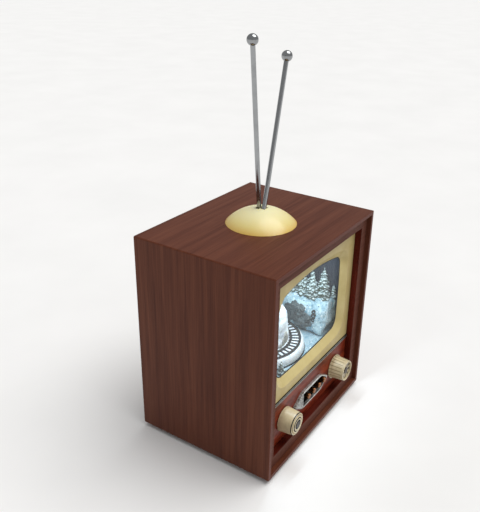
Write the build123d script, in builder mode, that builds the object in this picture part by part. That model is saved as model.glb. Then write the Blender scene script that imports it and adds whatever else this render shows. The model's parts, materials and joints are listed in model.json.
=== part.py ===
from build123d import *
import os
from math import cos, pi, radians, sin

os.makedirs("parts", exist_ok=True)

# Millimetres. X runs to the right of a person facing the screen, +Y to the back, +Z up.
# The origin is on the floor, under the middle of the whole set with its knobs.

# ---- Cabinet -------------------------------------------------------------
CAB_W = 198.0
CAB_D = 156.0
CAB_H = 216.0
FOOT_H = 4.0
WALL = 4.2
KNOB_OUT = 5.0  # how far the knobs stand in front of the cabinet
FRONT_Y = KNOB_OUT - (CAB_D + KNOB_OUT) / 2
BACK_Y = FRONT_Y + CAB_D
CAB_Y = (FRONT_Y + BACK_Y) / 2
BOTTOM_Z = FOOT_H
TOP_Z = FOOT_H + CAB_H
MID_Z = (BOTTOM_Z + TOP_Z) / 2
IN_X = CAB_W / 2 - WALL
IN_Z0 = BOTTOM_Z + WALL
IN_Z1 = TOP_Z - WALL
GLUE = 0.1  # slack of a piece that is glued or laid into another

# ---- Stepped front: depths are measured back from the front plane --------
LEDGE_DEPTH = 4.8
PANEL_DEPTH = 12.0
LEDGE_W = 12.0
OPEN_X = IN_X - LEDGE_W
OPEN_Z0 = IN_Z0 + LEDGE_W
OPEN_Z1 = IN_Z1 - LEDGE_W
SPLIT_Z = 69.0  # top of the control panel
TRIM_H = 3.5
PANEL_T = 3.0
PLATE_X = 88.0  # half width of bezel, panel and scene box flange

# ---- Screen --------------------------------------------------------------
SCREEN_MID_X = 64.0
SCREEN_X = 62.0
SCREEN_Z0 = 89.0
SCREEN_Z1 = 184.0
SCREEN_CORNER_R = 11.0
SCREEN_LIP = 7.5  # how much wider the sloping lip is at its front
LIP_DEPTH = 17.5
GASKET_DEPTH = 17.8
WINDOW_DEPTH = 18.6
WINDOW_T = 2.0
BEZEL_BACK = WINDOW_DEPTH + WINDOW_T
BEZEL_Z1 = 210.0

# ---- Controls ------------------------------------------------------------
CONTROL_Z = 44.4
KNOB_L_X = -54.0
KNOB_R_X = 55.0
KNOB_BACK = PANEL_DEPTH - 0.6
SHAFT_R = 3.0
BORE_R = SHAFT_R + 0.05
BUSH_R = 3.5
BUTTON_X = [-8.5, 3.0, 14.5, 26.0]
BUTTON_R = 3.1
BUTTON_TRAVEL = 2.0
BUTTON_FACE = 7.0
RECESS_DEPTH = PANEL_DEPTH + PANEL_T
BADGE_X = 36.0
BADGE_H = 10.0
BADGE_SHOULDER_X = 20.0
BADGE_T = 3.0
BADGE_RIM = 1.7

# ---- Antenna -------------------------------------------------------------
DOME_R = 35.6
DOME_H = 15.7
DOME_BOSS_R = 10.0
PIVOT_Z = TOP_Z + DOME_H - 2.7
ROD_R = 2.3
ROD_Y = 2.65  # each rod swings in its own plane, this far from the middle
EYE_R = 2.55
EYE_T = 4.2
PIN_R = 1.0
BALL_R = 5.3
LEFT_LENGTH = 162.6
RIGHT_LENGTH = 147.3
LEFT_LEAN = -6.2
RIGHT_LEAN = 13.1

# ---- Winter scene --------------------------------------------------------
BOX_X = 80.0
BOX_Z0 = 74.0
BOX_Z1 = 206.0
BOX_BACK = 138.0
BOX_T = 1.6
TABLE_X = -8.6
TABLE_Y = FRONT_Y + 75.4
TABLE_R = 49.5
TABLE_FOOT_R = 52.0
TABLE_Z0 = 84.5
TABLE_Z1 = 93.0
RAIL_R = [36.6, 46.2]
TRACK_R = sum(RAIL_R) / 2
GROUND_Z = 83.5
WELL_R = TABLE_FOOT_R + 0.6
TUNNEL_Z = 113.0
HILL_R = 33.0
HILL_H = 45.0

# ---- Mechanism -----------------------------------------------------------
PLATE_Z = 56.0
PLATE_T = 2.0
GEAR_Z = 62.0
GEAR_T = 5.0
MODULE = 1.0
TABLE_TEETH = 40
MOTOR_TEETH = 12
GEAR_CENTRES = MODULE * (TABLE_TEETH + MOTOR_TEETH) / 2
MOTOR_X = TABLE_X
MOTOR_Y = TABLE_Y + GEAR_CENTRES
MOTOR_R = 20.0

# ---- Back ----------------------------------------------------------------
COVER_DEPTH = 150.0
COVER_T = 2.5
HATCH_X = 12.0
HATCH_W = 64.0
HATCH_Z0 = 15.0
HATCH_H = 50.0
CELL_R = 7.1
CELL_L = 50.0
INLET_X = 72.0
INLET_Z = 26.0


def front_plane(depth):
    """Plane parallel to the screen, with its normal to the viewer, at a depth in the cabinet."""
    return Plane(origin=(0, FRONT_Y + depth, 0), x_dir=(1, 0, 0), z_dir=(0, -1, 0))


def block(x_range, depth_range, z_range, mode=Mode.ADD):
    """Box between two corners, with its Y range given as depths."""
    ranges = (x_range, [FRONT_Y + depth for depth in depth_range], z_range)
    middle = [(low + high) / 2 for low, high in ranges]
    with Locations(tuple(middle)):
        Box(*[high - low for low, high in ranges], mode=mode)


def rod_y(x, z, radius, depth_range, mode=Mode.ADD):
    """Cylinder along Y between two depths."""
    low, high = depth_range
    with Locations(Location((x, FRONT_Y + (low + high) / 2, z), (90, 0, 0))):
        Cylinder(radius, high - low, mode=mode)


def post(x, y, radius, z_range, mode=Mode.ADD):
    """Upright cylinder between two heights."""
    low, high = z_range
    with Locations((x, y, (low + high) / 2)):
        Cylinder(radius, high - low, mode=mode)


def save(builder, name):
    """Label a finished piece and write it under its node name."""
    builder.part.label = name
    export_step(builder.part, f"parts/{name}.step")


def screen_outline(grow):
    """Picture-tube outline with bowed sides and round corners, made larger by grow."""
    corner_x, bulge_x = SCREEN_X + grow, SCREEN_MID_X + grow
    bottom, top = SCREEN_Z0 - grow, SCREEN_Z1 + grow
    low, high = bottom + 2, top - 8
    middle = (bottom + top) / 2
    with BuildSketch() as outline:
        with BuildLine():
            ThreePointArc((-corner_x, low), (0, bottom), (corner_x, low))
            ThreePointArc((corner_x, low), (bulge_x, middle), (corner_x, high))
            ThreePointArc((corner_x, high), (0, top), (-corner_x, high))
            ThreePointArc((-corner_x, high), (-bulge_x, middle), (-corner_x, low))
        make_face()
        fillet(outline.vertices(), radius=SCREEN_CORNER_R + grow)
    return outline.sketch


def badge_outline(inset):
    """Long boat outline of the button surround, drawn in by inset."""
    tip, height = BADGE_X - 1.9 * inset, BADGE_H - inset
    shoulder = BADGE_SHOULDER_X
    with BuildSketch() as outline:
        with BuildLine():
            Polyline(
                (-tip, CONTROL_Z),
                (-shoulder, CONTROL_Z + height),
                (shoulder, CONTROL_Z + height),
                (tip, CONTROL_Z),
                (shoulder, CONTROL_Z - height),
                (-shoulder, CONTROL_Z - height),
                close=True,
            )
        make_face()
        fillet(outline.vertices().filter_by(lambda v: abs(v.X) < tip - 1), radius=12)
        fillet(outline.vertices().filter_by(lambda v: abs(v.X) > tip - 1), radius=0.8)
    return outline.sketch


def gear_outline(teeth, turn):
    """Spur gear outline; turn is the angle of the first tooth, in degrees."""
    pitch_r = MODULE * teeth / 2
    root_r = pitch_r - 1.25 * MODULE
    tip_r = pitch_r + 0.9 * MODULE
    step = 2 * pi / teeth
    points = []
    for tooth in range(teeth):
        middle = radians(turn) + tooth * step
        for share, radius in ((-0.36, root_r), (-0.10, tip_r), (0.10, tip_r), (0.36, root_r)):
            angle = middle + share * step
            points.append((radius * cos(angle), radius * sin(angle)))
    with BuildSketch() as outline:
        with BuildLine():
            Polyline(*points, close=True)
        make_face()
    return outline.sketch


SCREEN_FRONT = screen_outline(SCREEN_LIP)
SCREEN_HOLE = screen_outline(0)
SCREEN_SEAT = screen_outline(4.2)
SCREEN_GLASS = screen_outline(4.1)
GASKET_HOLE = screen_outline(-0.9)
BADGE_OUTER = badge_outline(0)
BADGE_INNER = badge_outline(BADGE_RIM)

# ---- Cabinet and front ---------------------------------------------------
FOOT_SPOTS = [(x, y) for x in (-86, 86) for y in (FRONT_Y + 13, BACK_Y - 13)]
SPEAKER_X = -54.0
SPEAKER_Y = FRONT_Y + 66
SPEAKER_R = 26.0
DOME_SCREWS = [(-21, CAB_Y), (21, CAB_Y)]
PANEL_SCREWS = [(x, z) for x in (-85.4, 85.4) for z in (16, 62)]
BOX_SCREWS = [(x, z) for x in (-84, 84) for z in (80, 141, 204)]
SCREW_R = 1.25
HEAD_R = 2.5
HEAD_T = 1.1

with BuildPart() as cabinet_shell:
    with BuildSketch(front_plane(0)):
        with Locations((0, MID_Z)):
            Rectangle(CAB_W, CAB_H)
            Rectangle(CAB_W - 2 * WALL, CAB_H - 2 * WALL, mode=Mode.SUBTRACT)
    extrude(amount=-CAB_D)
    long_edges = cabinet_shell.edges().filter_by(Axis.Y)
    fillet(long_edges.filter_by(lambda edge: abs(edge.center().X) > IN_X + 1), radius=1.5)
    rims = cabinet_shell.faces().sort_by(Axis.Y)
    fillet(rims[0].outer_wire().edges() + rims[-1].outer_wire().edges(), radius=0.6)
    for x, y in FOOT_SPOTS:
        post(x, y, 1.3, (BOTTOM_Z, IN_Z0), Mode.SUBTRACT)
    for x, y in DOME_SCREWS:
        post(x, y, 1.6, (IN_Z1, TOP_Z), Mode.SUBTRACT)
    with Locations((SPEAKER_X, SPEAKER_Y, BOTTOM_Z + WALL / 2)):
        with HexLocations(4.4, 4, 4):
            Cylinder(2.4, 2 * WALL, mode=Mode.SUBTRACT)
save(cabinet_shell, "cabinet_shell")

with BuildPart() as front_frame:
    with BuildSketch(front_plane(LEDGE_DEPTH)):
        with Locations((0, MID_Z)):
            Rectangle(2 * (IN_X - GLUE), IN_Z1 - IN_Z0 - 2 * GLUE)
            Rectangle(2 * OPEN_X, OPEN_Z1 - OPEN_Z0, mode=Mode.SUBTRACT)
    extrude(amount=LEDGE_DEPTH - PANEL_DEPTH)
    ledge = front_frame.faces().sort_by(Axis.Y)[0]
    fillet(ledge.inner_wires().edges(), radius=0.5)
    for x, z in PANEL_SCREWS:
        rod_y(x, z, SCREW_R, (PANEL_DEPTH - 4, PANEL_DEPTH), Mode.SUBTRACT)
save(front_frame, "front_frame")

with BuildPart() as screen_bezel:
    with BuildSketch(front_plane(PANEL_DEPTH)):
        with Locations((0, (SPLIT_Z + TRIM_H + BEZEL_Z1) / 2)):
            Rectangle(2 * PLATE_X, BEZEL_Z1 - SPLIT_Z - TRIM_H)
    extrude(amount=PANEL_DEPTH - BEZEL_BACK)
    with BuildSketch(front_plane(PANEL_DEPTH)):
        add(SCREEN_FRONT)
    with BuildSketch(front_plane(LIP_DEPTH)):
        add(SCREEN_HOLE)
    loft(mode=Mode.SUBTRACT)
    with BuildSketch(front_plane(LIP_DEPTH)):
        add(SCREEN_HOLE)
    extrude(amount=-1, mode=Mode.SUBTRACT)
    with BuildSketch(front_plane(GASKET_DEPTH)):
        add(SCREEN_SEAT)
    extrude(amount=GASKET_DEPTH - BEZEL_BACK, mode=Mode.SUBTRACT)
    for x, z in BOX_SCREWS:
        rod_y(x, z, 1.25, (15, BEZEL_BACK), Mode.SUBTRACT)
save(screen_bezel, "screen_bezel")

with BuildPart() as screen_gasket:
    with BuildSketch(front_plane(GASKET_DEPTH)):
        add(SCREEN_GLASS)
    extrude(amount=GASKET_DEPTH - WINDOW_DEPTH)
    with BuildSketch(front_plane(GASKET_DEPTH)):
        add(GASKET_HOLE)
    extrude(amount=GASKET_DEPTH - WINDOW_DEPTH, mode=Mode.SUBTRACT)
save(screen_gasket, "screen_gasket")

with BuildPart() as screen_window:
    with BuildSketch(front_plane(WINDOW_DEPTH)):
        add(SCREEN_GLASS)
    extrude(amount=-WINDOW_T)
save(screen_window, "screen_window")

with BuildPart() as trim_strip:
    trim_x = (GLUE - OPEN_X, OPEN_X - GLUE)
    block(trim_x, (PANEL_DEPTH - 0.6, RECESS_DEPTH), (SPLIT_Z, SPLIT_Z + TRIM_H))
    for z in (SPLIT_Z + 0.7, SPLIT_Z + TRIM_H - 0.7):
        with Locations(Location((0, FRONT_Y + PANEL_DEPTH - 0.6, z), (0, 90, 0))):
            Cylinder(0.7, 2 * (OPEN_X - GLUE))
save(trim_strip, "trim_strip")

with BuildPart() as control_panel:
    with BuildSketch(front_plane(PANEL_DEPTH)):
        with Locations((0, (12 + SPLIT_Z) / 2)):
            Rectangle(2 * PLATE_X, SPLIT_Z - 12)
        with Locations((KNOB_L_X, CONTROL_Z), (KNOB_R_X, CONTROL_Z)):
            Circle(BUSH_R + 0.1, mode=Mode.SUBTRACT)
        for x, z in PANEL_SCREWS:
            with Locations((x, z)):
                Circle(1.3, mode=Mode.SUBTRACT)
    extrude(amount=-PANEL_T)
    with BuildSketch(front_plane(PANEL_DEPTH)):
        add(BADGE_INNER)
    extrude(amount=-PANEL_T, mode=Mode.SUBTRACT)
save(control_panel, "control_panel")

# ---- Button surround and push buttons ------------------------------------
BADGE_FACE = PANEL_DEPTH - BADGE_T
END_X = -18.5  # where the silver end section stops and the dark recess starts

with BuildPart() as button_surround:
    with BuildSketch(front_plane(BADGE_FACE)):
        add(BADGE_OUTER)
    extrude(amount=-BADGE_T)
    fillet(button_surround.faces().sort_by(Axis.Y)[0].edges(), radius=0.7)
    with BuildSketch(front_plane(BADGE_FACE)):
        add(BADGE_INNER)
        with Locations((END_X - 25, CONTROL_Z)):
            Rectangle(50, 4 * BADGE_H, mode=Mode.SUBTRACT)
    extrude(amount=-BADGE_T, mode=Mode.SUBTRACT)
save(button_surround, "button_surround")

with BuildPart() as button_guide:
    block((-24, 36), (RECESS_DEPTH, RECESS_DEPTH + 1.8), (CONTROL_Z - 11, CONTROL_Z + 11))
    for x in BUTTON_X:
        rod_y(x, CONTROL_Z, BUTTON_R + 0.15, (RECESS_DEPTH, RECESS_DEPTH + 2), Mode.SUBTRACT)
save(button_guide, "button_guide")

FLANGE_DEPTH = RECESS_DEPTH + 2.1
BANK_DEPTH = FLANGE_DEPTH + 4.0
STEM_END = BANK_DEPTH + 6.0

for number, x in enumerate(BUTTON_X, start=1):
    with BuildPart() as push_button:
        rod_y(x, CONTROL_Z, BUTTON_R, (BUTTON_FACE, FLANGE_DEPTH))
        fillet(push_button.faces().sort_by(Axis.Y)[0].edges(), radius=1.0)
        rod_y(x, CONTROL_Z, 4.4, (FLANGE_DEPTH, FLANGE_DEPTH + 1.2))
        rod_y(x, CONTROL_Z, 1.5, (FLANGE_DEPTH + 1.2, STEM_END))
    save(push_button, f"push_button_{number}")

with BuildPart() as switch_bank:
    block((-18, 34), (BANK_DEPTH, BANK_DEPTH + 11), (CONTROL_Z - 6.5, CONTROL_Z + 6.5))
    for x in BUTTON_X:
        rod_y(x, CONTROL_Z, 1.65, (BANK_DEPTH, STEM_END + BUTTON_TRAVEL + 0.4), Mode.SUBTRACT)
    for x in (-17, 33):
        block((x - 1, x + 1), (RECESS_DEPTH + 1.8, BANK_DEPTH), (CONTROL_Z - 6, CONTROL_Z + 6))
save(switch_bank, "switch_bank")

# ---- Knobs, shafts and the controls they turn -----------------------------
KNOB_FRONT = -KNOB_OUT
SHAFT_FRONT = KNOB_FRONT + 4.5
POT_BACK = RECESS_DEPTH + 12.0
RING_W = 0.8
RING_FLOOR = KNOB_FRONT + 1.9
FACE_STEPS = [(9.2, KNOB_FRONT + 0.7), (6.6, KNOB_FRONT + 0.3), (3.8, KNOB_FRONT)]
FLUTES = 20
FLUTE_RING_R = 13.1


def knob_body(x, back_r, front_r, rim_r):
    """Tapered round knob with a hollow back, a bore for its shaft and a foot rim of rim_r."""
    side_front = KNOB_FRONT + 1.2
    middle = (side_front + KNOB_BACK) / 2
    with Locations(Location((x, FRONT_Y + middle, CONTROL_Z), (90, 0, 0))):
        Cone(back_r, front_r, KNOB_BACK - side_front)
    if rim_r > back_r:
        rod_y(x, CONTROL_Z, rim_r, (KNOB_BACK - 1.3, KNOB_BACK))
    rod_y(x, CONTROL_Z, 7.2, (KNOB_BACK - 3.2, KNOB_BACK), Mode.SUBTRACT)
    rod_y(x, CONTROL_Z, SHAFT_R, (SHAFT_FRONT, KNOB_BACK), Mode.SUBTRACT)


with BuildPart() as volume_knob:
    knob_body(KNOB_L_X, 12.8, 11.5, 0)
    fillet(volume_knob.faces().sort_by(Axis.Y)[0].edges(), radius=0.8)
    for step_r, step_front in FACE_STEPS:
        rod_y(KNOB_L_X, CONTROL_Z, step_r + RING_W, (KNOB_FRONT, RING_FLOOR), Mode.SUBTRACT)
        rod_y(KNOB_L_X, CONTROL_Z, step_r, (step_front, RING_FLOOR + 0.5))
save(volume_knob, "volume_knob")

with BuildPart() as selector_knob:
    knob_body(KNOB_R_X, 12.7, 11.6, 13.7)
    rod_y(KNOB_R_X, CONTROL_Z, 11.4, (KNOB_FRONT, KNOB_FRONT + 2))
    rod_y(KNOB_R_X, CONTROL_Z, 9.8, (KNOB_FRONT, KNOB_FRONT + 1.6), Mode.SUBTRACT)
    rod_y(KNOB_R_X, CONTROL_Z, 3.6, (KNOB_FRONT + 0.9, KNOB_FRONT + 2))
    for flute in range(FLUTES):
        angle = 2 * pi * flute / FLUTES
        x = KNOB_R_X + FLUTE_RING_R * cos(angle)
        z = CONTROL_Z + FLUTE_RING_R * sin(angle)
        rod_y(x, z, 0.9, (KNOB_FRONT + 2.2, KNOB_BACK - 1.3), Mode.SUBTRACT)
save(selector_knob, "selector_knob")

for name, x in (("volume_shaft", KNOB_L_X), ("selector_shaft", KNOB_R_X)):
    with BuildPart() as shaft:
        rod_y(x, CONTROL_Z, SHAFT_R, (SHAFT_FRONT, POT_BACK + 1.5))
    save(shaft, name)

for name, x, body_r in (("volume_control", KNOB_L_X, 8.5), ("selector_switch", KNOB_R_X, 10.5)):
    with BuildPart() as control:
        rod_y(x, CONTROL_Z, body_r, (RECESS_DEPTH, POT_BACK))
        rod_y(x, CONTROL_Z, BUSH_R, (PANEL_DEPTH - 2.4, RECESS_DEPTH))
        block((x - 6, x + 6), (POT_BACK - 5, POT_BACK - 3), (CONTROL_Z - body_r - 5, CONTROL_Z))
        rod_y(x, CONTROL_Z, BORE_R, (PANEL_DEPTH - 2.4, POT_BACK), Mode.SUBTRACT)
    save(control, name)

with BuildPart() as control_nuts:
    with BuildSketch(front_plane(PANEL_DEPTH - 1.9)):
        with Locations((KNOB_L_X, CONTROL_Z), (KNOB_R_X, CONTROL_Z)):
            RegularPolygon(5.6, 6)
            Circle(BUSH_R, mode=Mode.SUBTRACT)
    extrude(amount=-1.9)
save(control_nuts, "control_nuts")

# ---- Antenna -------------------------------------------------------------
ROD_SLOT_OUT = 4.7
ROD_SLOT_IN = 2.8

with BuildPart() as antenna_dome:
    cap_r = (DOME_R**2 + DOME_H**2) / (2 * DOME_H)
    skin = 2.0
    with BuildSketch(Plane(origin=(0, CAB_Y, TOP_Z), x_dir=(1, 0, 0), z_dir=(0, -1, 0))):
        with BuildLine():
            rise = DOME_H - cap_r + (cap_r**2 - (DOME_R / 2) ** 2) ** 0.5
            ThreePointArc((0, DOME_H), (DOME_R / 2, rise), (DOME_R, 0))
            inner_rise = rise - skin
            Line((DOME_R, 0), (DOME_R - 3, 0))
            ThreePointArc((DOME_R - 3, 0), (DOME_R / 2, inner_rise), (DOME_BOSS_R, DOME_H - 3.2))
            Line((DOME_BOSS_R, DOME_H - 3.2), (DOME_BOSS_R, DOME_H - 8))
            Line((DOME_BOSS_R, DOME_H - 8), (0, DOME_H - 8))
            Line((0, DOME_H - 8), (0, DOME_H))
        make_face()
    revolve(axis=Axis((0, CAB_Y, 0), (0, 0, 1)))
    for x, y in DOME_SCREWS:
        post(x, y, 3.6, (TOP_Z, TOP_Z + 9))
        post(x, y, 1.25, (TOP_Z, TOP_Z + 7), Mode.SUBTRACT)
    for side, y in ((-1, CAB_Y + ROD_Y), (1, CAB_Y - ROD_Y)):
        low, high = sorted((side * ROD_SLOT_OUT, -side * ROD_SLOT_IN))
        depths = (y - ROD_R - 0.1 - FRONT_Y, y + ROD_R + 0.1 - FRONT_Y)
        block((low, high), depths, (PIVOT_Z - EYE_R - 0.3, TOP_Z + DOME_H + 1), Mode.SUBTRACT)
    rod_y(0, PIVOT_Z, PIN_R, (CAB_Y - 8 - FRONT_Y, CAB_Y + 8 - FRONT_Y), Mode.SUBTRACT)
save(antenna_dome, "antenna_dome")

with BuildPart() as antenna_pin:
    rod_y(0, PIVOT_Z, PIN_R, (CAB_Y - 8 - FRONT_Y, CAB_Y + 8 - FRONT_Y))
save(antenna_pin, "antenna_pin")

RODS = (
    ("left", CAB_Y + ROD_Y, LEFT_LEAN, LEFT_LENGTH),
    ("right", CAB_Y - ROD_Y, RIGHT_LEAN, RIGHT_LENGTH),
)
for side, y, lean, length in RODS:
    direction = (sin(radians(lean)), 0, cos(radians(lean)))
    with BuildPart() as antenna_rod:
        with BuildSketch(Plane(origin=(0, y, PIVOT_Z), z_dir=direction)):
            Circle(ROD_R)
        extrude(amount=length)
        depths = (y - EYE_T / 2 - FRONT_Y, y + EYE_T / 2 - FRONT_Y)
        rod_y(0, PIVOT_Z, EYE_R, depths)
        bore = (y - ROD_R - 1 - FRONT_Y, y + ROD_R + 1 - FRONT_Y)
        rod_y(0, PIVOT_Z, PIN_R + 0.05, bore, Mode.SUBTRACT)
    save(antenna_rod, f"antenna_rod_{side}")
    tip = (length * direction[0], y, PIVOT_Z + length * direction[2])
    with BuildPart() as antenna_ball:
        with Locations(tip):
            Sphere(BALL_R)
        with BuildSketch(Plane(origin=(0, y, PIVOT_Z), z_dir=direction)):
            Circle(ROD_R)
        extrude(amount=length, mode=Mode.SUBTRACT)
    save(antenna_ball, f"antenna_ball_{side}")

# ---- Scene box, ground, mountain and trees --------------------------------
with BuildPart() as scene_box:
    block((-PLATE_X, PLATE_X), (BEZEL_BACK, BEZEL_BACK + 2), (BOX_Z0, BEZEL_Z1))
    block((-BOX_X, BOX_X), (BEZEL_BACK, BOX_BACK), (BOX_Z0, BOX_Z1))
    inner_x = BOX_X - BOX_T
    inner_z = (BOX_Z0 + BOX_T, BOX_Z1 - BOX_T)
    block((-inner_x, inner_x), (BEZEL_BACK, BOX_BACK - BOX_T), inner_z, Mode.SUBTRACT)
    post(TABLE_X, TABLE_Y, 5.0, (BOX_Z0, BOX_Z0 + BOX_T), Mode.SUBTRACT)
    for x, z in BOX_SCREWS:
        rod_y(x, z, 1.4, (BEZEL_BACK, BEZEL_BACK + 2), Mode.SUBTRACT)
save(scene_box, "scene_box")

SCENE_X = BOX_X - BOX_T - 0.2
SCENE_FRONT = BEZEL_BACK + 0.4
SCENE_BACK = BOX_BACK - BOX_T - 0.2

with BuildPart() as snow_ground:
    block((-SCENE_X, SCENE_X), (SCENE_FRONT, SCENE_BACK), (BOX_Z0 + BOX_T, GROUND_Z))
    post(TABLE_X, TABLE_Y, WELL_R, (BOX_Z0, GROUND_Z + 1), Mode.SUBTRACT)
save(snow_ground, "snow_ground")

MOUND_FRONT = SCENE_FRONT + 1.5
MOUND_BACK = 100.0
MOUND_X = 41.0
MOUND_Z = 122.0

with BuildPart() as mountain:
    with BuildSketch(Plane.YZ.offset(-SCENE_X)):
        with BuildLine():
            Polyline(
                (FRONT_Y + 84, GROUND_Z),
                (FRONT_Y + 92, 128),
                (FRONT_Y + 112, 172),
                (FRONT_Y + SCENE_BACK, 184),
                (FRONT_Y + SCENE_BACK, GROUND_Z),
                close=True,
            )
        make_face()
    extrude(amount=2 * SCENE_X)
    with BuildSketch(front_plane(MOUND_FRONT)):
        with BuildLine():
            Polyline(
                (MOUND_X, GROUND_Z),
                (MOUND_X + 6, MOUND_Z - 10),
                (MOUND_X + 17, MOUND_Z),
                (SCENE_X, MOUND_Z),
                (SCENE_X, GROUND_Z),
                close=True,
            )
        make_face()
    extrude(amount=MOUND_FRONT - MOUND_BACK)
    post(TABLE_X, TABLE_Y, WELL_R + 1.5, (GROUND_Z, TUNNEL_Z), Mode.SUBTRACT)
    post(TABLE_X, TABLE_Y, HILL_R + 2, (TUNNEL_Z - 1, TABLE_Z1 + HILL_H + 3), Mode.SUBTRACT)
save(mountain, "mountain")

# Each tree: x, depth, crown radius and height.
TREES = [(68, 37, 9, 37), (73.5, 27.5, 4, 15), (62, 48, 9, 32), (63, 60, 9, 34), (61, 72, 9, 36)]
TREES += [(66, 86, 11, 44), (48, 108, 15, 44), (30, 103, 14, 40), (10, 110, 13, 36), (-24, 112, 13, 34)]
TREES += [(-56, 106, 13, 42), (-70, 30, 7, 24), (-42, 27, 5.5, 17)]


def ground_height(depth, x):
    """Height of the snow under a tree at this depth."""
    if depth > 92:
        return 126 + (depth - 92) * 2.0
    return MOUND_Z - 4 if x > MOUND_X else GROUND_Z - 0.5


with BuildPart() as scene_trees:
    for x, depth, crown_r, height in TREES:
        foot = ground_height(depth, x)
        height = min(height, BOX_Z1 - BOX_T - foot - 3)
        crown_r = min(crown_r, SCENE_BACK - depth - 1)
        with Locations((x, FRONT_Y + depth, foot + height / 2)):
            Cone(crown_r, 0.8, height)
    add(mountain.part, mode=Mode.SUBTRACT)
    add(snow_ground.part, mode=Mode.SUBTRACT)
save(scene_trees, "scene_trees")

# ---- Turntable with track, hill and train ---------------------------------
with BuildPart() as track_table:
    with BuildSketch(Plane.XY.offset(TABLE_Z0)):
        with Locations((TABLE_X, TABLE_Y)):
            Circle(TABLE_FOOT_R)
    with BuildSketch(Plane.XY.offset(TABLE_Z1)):
        with Locations((TABLE_X, TABLE_Y)):
            Circle(TABLE_R)
    loft()
    post(TABLE_X, TABLE_Y, 8, (TABLE_Z0 - 4.5, TABLE_Z0))
    post(TABLE_X, TABLE_Y, SHAFT_R, (TABLE_Z0 - 4.5, TABLE_Z0 + 4), Mode.SUBTRACT)
save(track_table, "track_table")

with BuildPart() as rail_ring:
    for radius in RAIL_R:
        post(TABLE_X, TABLE_Y, radius + 0.55, (TABLE_Z1, TABLE_Z1 + 1.5))
        post(TABLE_X, TABLE_Y, radius - 0.55, (TABLE_Z1, TABLE_Z1 + 1.5), Mode.SUBTRACT)
        if radius == RAIL_R[0]:
            inner_rail = rail_ring.part
    with Locations((TABLE_X, TABLE_Y, TABLE_Z1 + 0.35)):
        with PolarLocations(TRACK_R, 48):
            Box(RAIL_R[1] - RAIL_R[0] + 3.4, 1.9, 0.7)
    add(inner_rail)
save(rail_ring, "rail_ring")

with BuildPart() as table_hill:
    with BuildSketch(Plane(origin=(TABLE_X, TABLE_Y, TABLE_Z1), x_dir=(1, 0, 0), z_dir=(0, -1, 0))):
        with BuildLine():
            Line((0, 0), (HILL_R, 0))
            Spline((HILL_R, 0), (HILL_R * 0.99, HILL_H * 0.38), (HILL_R * 0.86, HILL_H * 0.68),
                   (HILL_R * 0.5, HILL_H * 0.92), (0, HILL_H), tangents=((0, 1), (-1, 0)))
            Line((0, HILL_H), (0, 0))
        make_face()
    revolve(axis=Axis((TABLE_X, TABLE_Y, 0), (0, 0, 1)))
save(table_hill, "table_hill")

TRAIN_Z = TABLE_Z1 + 1.5
ENGINE_ANGLE = 180
CAR_ANGLES = (202, 222)


def on_track(angle):
    """Place on the track at this angle, with local X along the track."""
    x = TABLE_X + TRACK_R * cos(radians(angle))
    y = TABLE_Y + TRACK_R * sin(radians(angle))
    return Location((x, y, TRAIN_Z), (0, 0, angle + 90))


with BuildPart() as toy_train:
    with Locations(on_track(ENGINE_ANGLE)):
        with Locations((0, 0, 3)):
            Box(15, 7.5, 6)
        with Locations((3.5, 0, 8)):
            Box(6, 7, 9)
        with Locations(Location((-2.5, 0, 7.5), (0, 90, 0))):
            Cylinder(3, 10)
        with Locations((-5.5, 0, 11.5)):
            Cylinder(1.2, 4)
    for angle in CAR_ANGLES:
        with Locations(on_track(angle)):
            with Locations((0, 0, 4.8)):
                Box(12, 7.5, 9.6)
            with Locations(Location((0, 0, 9.4), (0, 90, 0))):
                Cylinder(3.6, 12)
save(toy_train, "toy_train")

# ---- Drive: shaft, bushes, gears and motor --------------------------------
TABLE_GEAR = gear_outline(TABLE_TEETH, 90)
MOTOR_GEAR = gear_outline(MOTOR_TEETH, 180 / MOTOR_TEETH - 90)

with BuildPart() as table_shaft:
    post(TABLE_X, TABLE_Y, SHAFT_R, (PLATE_Z - 3, TABLE_Z0 + 4))
save(table_shaft, "table_shaft")

with BuildPart() as shaft_bushes:
    post(TABLE_X, TABLE_Y, 5.0, (BOX_Z0 - 1, BOX_Z0 + BOX_T))
    post(TABLE_X, TABLE_Y, 7.0, (BOX_Z0 + BOX_T, BOX_Z0 + BOX_T + 1.5))
    post(TABLE_X, TABLE_Y, 5.0, (PLATE_Z, PLATE_Z + PLATE_T))
    post(TABLE_X, TABLE_Y, 7.0, (PLATE_Z + PLATE_T, PLATE_Z + PLATE_T + 1.5))
    post(TABLE_X, TABLE_Y, BORE_R, (PLATE_Z, BOX_Z0 + BOX_T + 2), Mode.SUBTRACT)
save(shaft_bushes, "shaft_bushes")

with BuildPart() as table_gear:
    with BuildSketch(Plane(origin=(TABLE_X, TABLE_Y, GEAR_Z))):
        add(TABLE_GEAR)
    extrude(amount=GEAR_T)
    post(TABLE_X, TABLE_Y, 7, (GEAR_Z + GEAR_T, GEAR_Z + GEAR_T + 3))
    post(TABLE_X, TABLE_Y, SHAFT_R, (GEAR_Z, GEAR_Z + GEAR_T + 3), Mode.SUBTRACT)
save(table_gear, "table_gear")

with BuildPart() as motor_pinion:
    with BuildSketch(Plane(origin=(MOTOR_X, MOTOR_Y, GEAR_Z))):
        add(MOTOR_GEAR)
    extrude(amount=GEAR_T)
    post(MOTOR_X, MOTOR_Y, 2.0, (PLATE_Z - 2, GEAR_Z + GEAR_T + 1))
save(motor_pinion, "motor_pinion")

PLATE_BACK = MOTOR_Y - FRONT_Y + 22
STANDOFFS = [(x, d) for x in (TABLE_X - 32, TABLE_X + 32) for d in (50, PLATE_BACK - 6)]

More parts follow.
